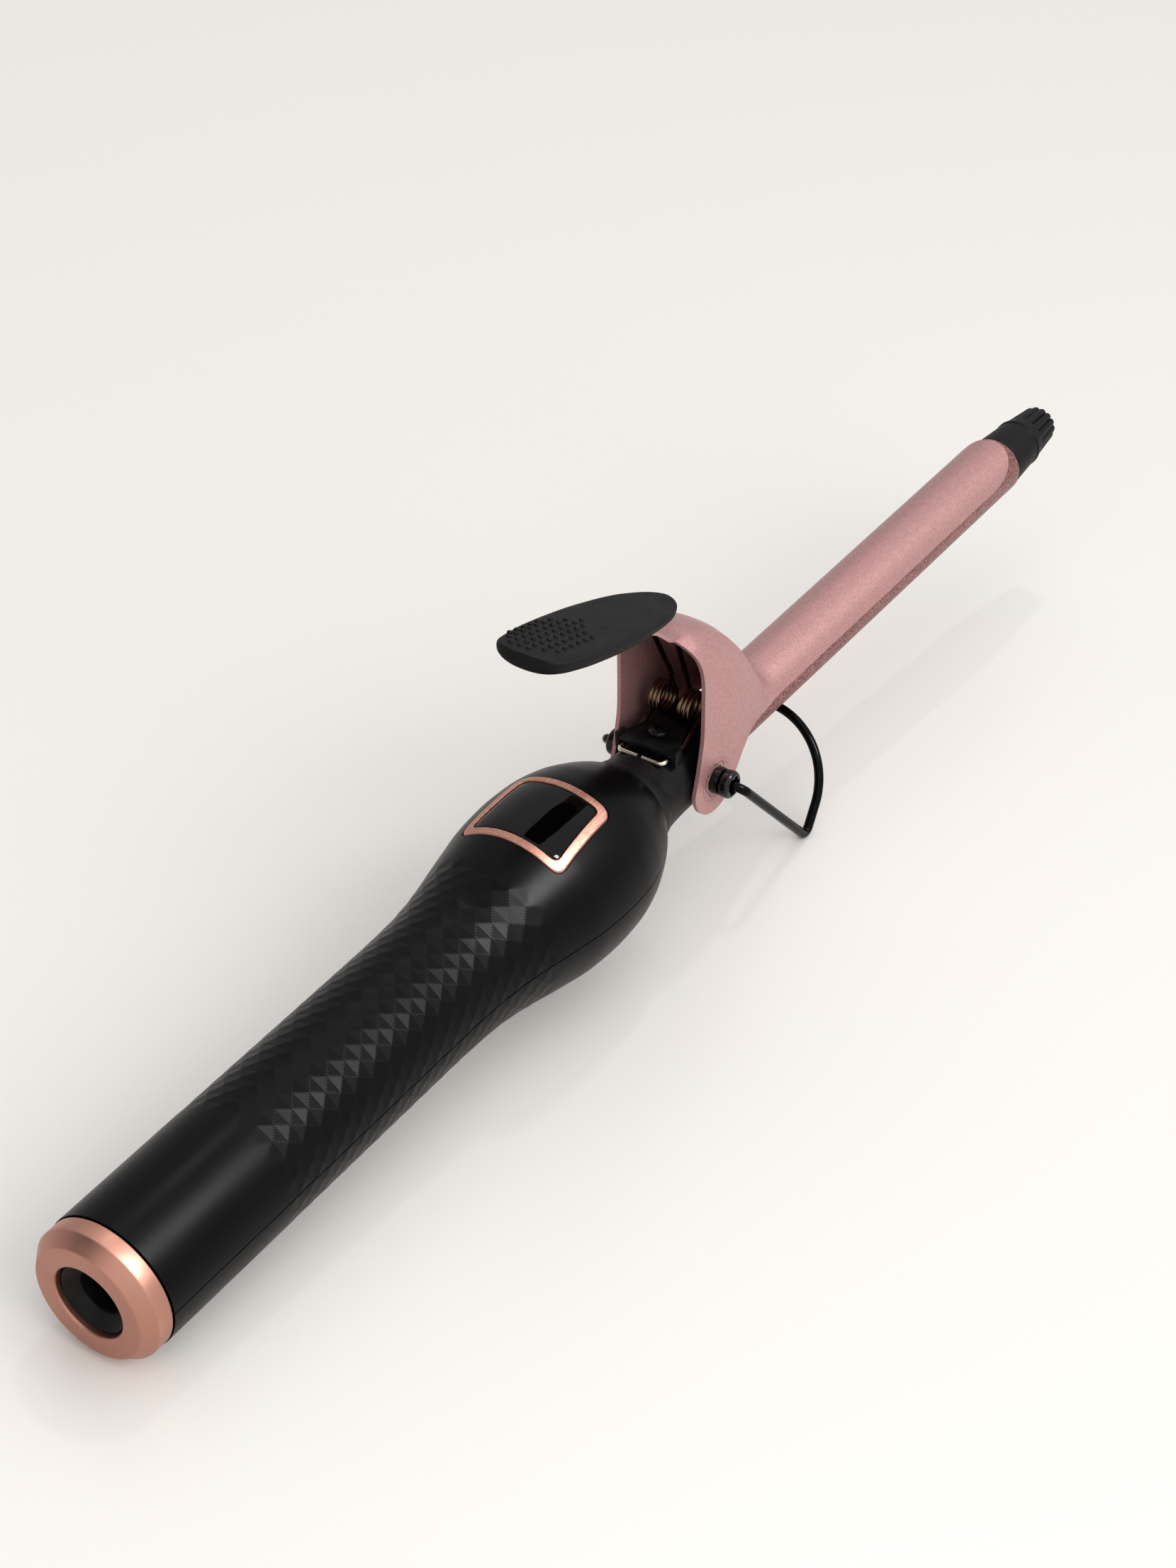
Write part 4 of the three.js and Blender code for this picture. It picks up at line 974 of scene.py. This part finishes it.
left_leg = [(3.5, 210.9, 18.2), (3.7, 209.6, 22), (4.4, 206.3, 30), (5.1, 203.4, 36.9), (1.6, 202.4, 38.9)]
right_leg = [(0.8, 210.9, 18.2), (0.9, 209.6, 22), (1.2, 206.3, 30), (1.5, 203.2, 38.0), (0.2, 202.4, 39.0)]
spring_path = spring_half(-1, 7.1, 3.5, left_leg) + spring_half(1, 4.8, 0.8, right_leg)[::-1]
spring = wire_piece("spring", spring_path, SPRING_WIRE, spring_wire)
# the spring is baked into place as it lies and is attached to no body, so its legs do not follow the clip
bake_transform(spring)
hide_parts("torsion_spring")

# Spring retainer: a black nylon bracket screwed to the flat of the neck over the spring's long ends, with a
# small ear on each side to keep them in.
retainer = prism(eased([
    (-7.4, 193), (7.4, 193), (7.4, 195.6), (3.9, 204.9), (-3.9, 204.9), (-7.4, 195.6),
], 0.5), 11.1, 12.1)
for low, high in ((-8.3, -7.3), (7.3, 8.3)):
    ear = [(low, 193.02), (high, 193.02), (high, 195.8), (low, 195.8)]
    carve(retainer, [prism(ear, 8.6, 12.7)], "UNION")
carve(retainer, [prism([(-3.6, 193.4), (3.6, 193.4), (3.6, 204.6), (-3.6, 204.6)], 9.45, 11.3)], "UNION")
carve(retainer, [prism(circle(0, 198.7, 1.5), 5, 15)])
soften = retainer.modifiers.new("soften", "BEVEL")
soften.width = 0.16 * MM
soften.segments = 2
soften.limit_method = "ANGLE"
soften.angle_limit = math.radians(50)
plain(retainer)
tidy(retainer, 35, outwards=False)
retainer.name = "retainer_bracket"
retainer.data.materials.clear()
retainer.data.materials.append(matt_black)
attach(retainer, "housing")
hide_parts("spring_retainer")
# its pan-head screw, blackened steel with a cross recess, is given the glossy black finish of the bushes
SCREW_Y = 198.7


def down_from_top(place, across, high):
    return (across, SCREW_Y + high, place)


screw = turned("retainer_pan_head", eased([
    (-5.4, 0.02), (-4.9, 1.1), (12.4, 1.2), (12.4, 2.5), (13.3, 2.35), (13.9, 1.2), (13.95, 0.02),
], 0.25), 40, down_from_top)
for wide, deep in ((0.32, 1.35), (1.35, 0.32)):
    slot = [(-wide, SCREW_Y - deep), (wide, SCREW_Y - deep), (wide, SCREW_Y + deep), (-wide, SCREW_Y + deep)]
    carve(screw, [prism(slot, 13.0, 15)])
tidy(screw, 35, outwards=False)
screw.data.materials.clear()
screw.data.materials.append(gloss_black)
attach(screw, "housing")
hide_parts("retainer_screw")

# Stand: one length of 2.3 mm steel wire bent to two feet and an arch that hugs the barrel, enamelled gloss
# black. Its ends turn in the bushes.
STAND_X, STAND_WIRE = 19.5, 1.15
FOOT = Vector((0, 233.9, -32.9))
SADDLE = Vector((0, 248.5, -9.2))
rise = (SADDLE - FOOT).normalized()
arch_base = SADDLE - rise * STAND_X


def stand_half(side):
    leg = round_corners([(13, PIVOT_Y, 0), (STAND_X, PIVOT_Y, 0), (STAND_X, FOOT.y, FOOT.z),
                         (STAND_X, arch_base.y, arch_base.z)], [2.8, 1.9], 10)
    for i in range(1, 30):
        angle = math.pi / 2 * i / 30
        across = Vector((STAND_X * math.cos(angle), 0, 0))
        leg.append(arch_base + across + rise * (STAND_X * math.sin(angle)))
    return [(side * p[0], p[1], p[2]) for p in leg]


# enamelled wire: a thick glossy black that carries one long white line of light
enamel, tree, shader = finish("black_enamel", "#020203", 0.1, 0.0, 0.08)
place = node(tree, "ShaderNodeTexCoord").outputs["Object"]
sag = node(tree, "ShaderNodeTexNoise", {"Vector": place, "Scale": 1 / (2.5 * MM), "Detail": 2.0})
surface(tree, shader, sag.outputs["Fac"], 0.25, 0.05,
        (sag.outputs["Fac"], 0.3, 0.7, 0.1, 0.2))
stand = wire_piece("stand", stand_half(-1) + [tuple(SADDLE)] + stand_half(1)[::-1], STAND_WIRE, enamel)
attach(stand, "stand")
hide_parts("stand_wire")

# Inside: the parts that the shells and the barrel hide keep their own shapes. Each gets the finish of the
# real component: plated steel, copper, solder mask, film, epoxy, silicone, alumina, extruded aluminium,
# brass, acrylic.
INNER_FINISHES = [
    ("zinc_plated_steel", "#8f9296", "#b4b7b9", 0.8, 0.34, 1.0,
     ["swivel_retaining_washer", "shell_screw_rear", "shell_screw_front", "tip_fixing_screw",
      "thermal_fuse"]),
    ("rolled_copper", "#a5623a", "#c98655", 1.2, 0.3, 1.0,
     ["swivel_slip_ring_rear", "swivel_slip_ring_front", "swivel_contact_rear", "swivel_contact_front"]),
    ("turned_brass", "#a88a48", "#c9ad6a", 0.6, 0.32, 1.0, ["pivot_insert_left", "pivot_insert_right"]),
    ("moulded_contact_block", "#17171a", "#26262a", 0.7, 0.55, 0.0, ["swivel_contact_block"]),
    ("green_solder_mask", "#1f4d2e", "#33693f", 2.5, 0.32, 0.0, ["main_board", "display_board"]),
    ("yellow_film_capacitor", "#b8942f", "#d3b04c", 1.5, 0.4, 0.0, ["suppression_capacitor"]),
    ("black_epoxy", "#161618", "#242427", 0.5, 0.5, 0.0, ["power_triac", "control_chip"]),
    ("red_silicone_sleeve", "#7f231d", "#9d362d", 0.9, 0.6, 0.0, ["heater_lead_left", "heater_lead_right"]),
    ("alumina_ceramic", "#d8d4ca", "#edeae2", 1.0, 0.6, 0.0,
     ["ceramic_heater", "temperature_sensor", "tip_insulating_disc"]),
    ("extruded_aluminium", "#a9acb0", "#c8cacd", 0.9, 0.38, 1.0,
     ["heater_carrier_upper", "heater_carrier_lower"]),
    ("milky_acrylic", "#dddbd4", "#efeee9", 3.0, 0.35, 0.0, ["display_light_guide"]),
]
for name, dark, light, grain_size, roughness, metallic, nodes in INNER_FINISHES:
    made, tree, shader = finish(name, light, roughness, metallic)
    place = node(tree, "ShaderNodeTexCoord").outputs["Object"]
    grain = node(tree, "ShaderNodeTexNoise", {"Vector": place, "Scale": 1 / (grain_size * MM),
                                              "Detail": 3.0})
    tint(tree, shader, grain.outputs["Fac"], dark, light)
    surface(tree, shader, grain.outputs["Fac"], 0.4, 0.02)
    for node_name in nodes:
        frame["nodes"][node_name].material_slots[0].material = made
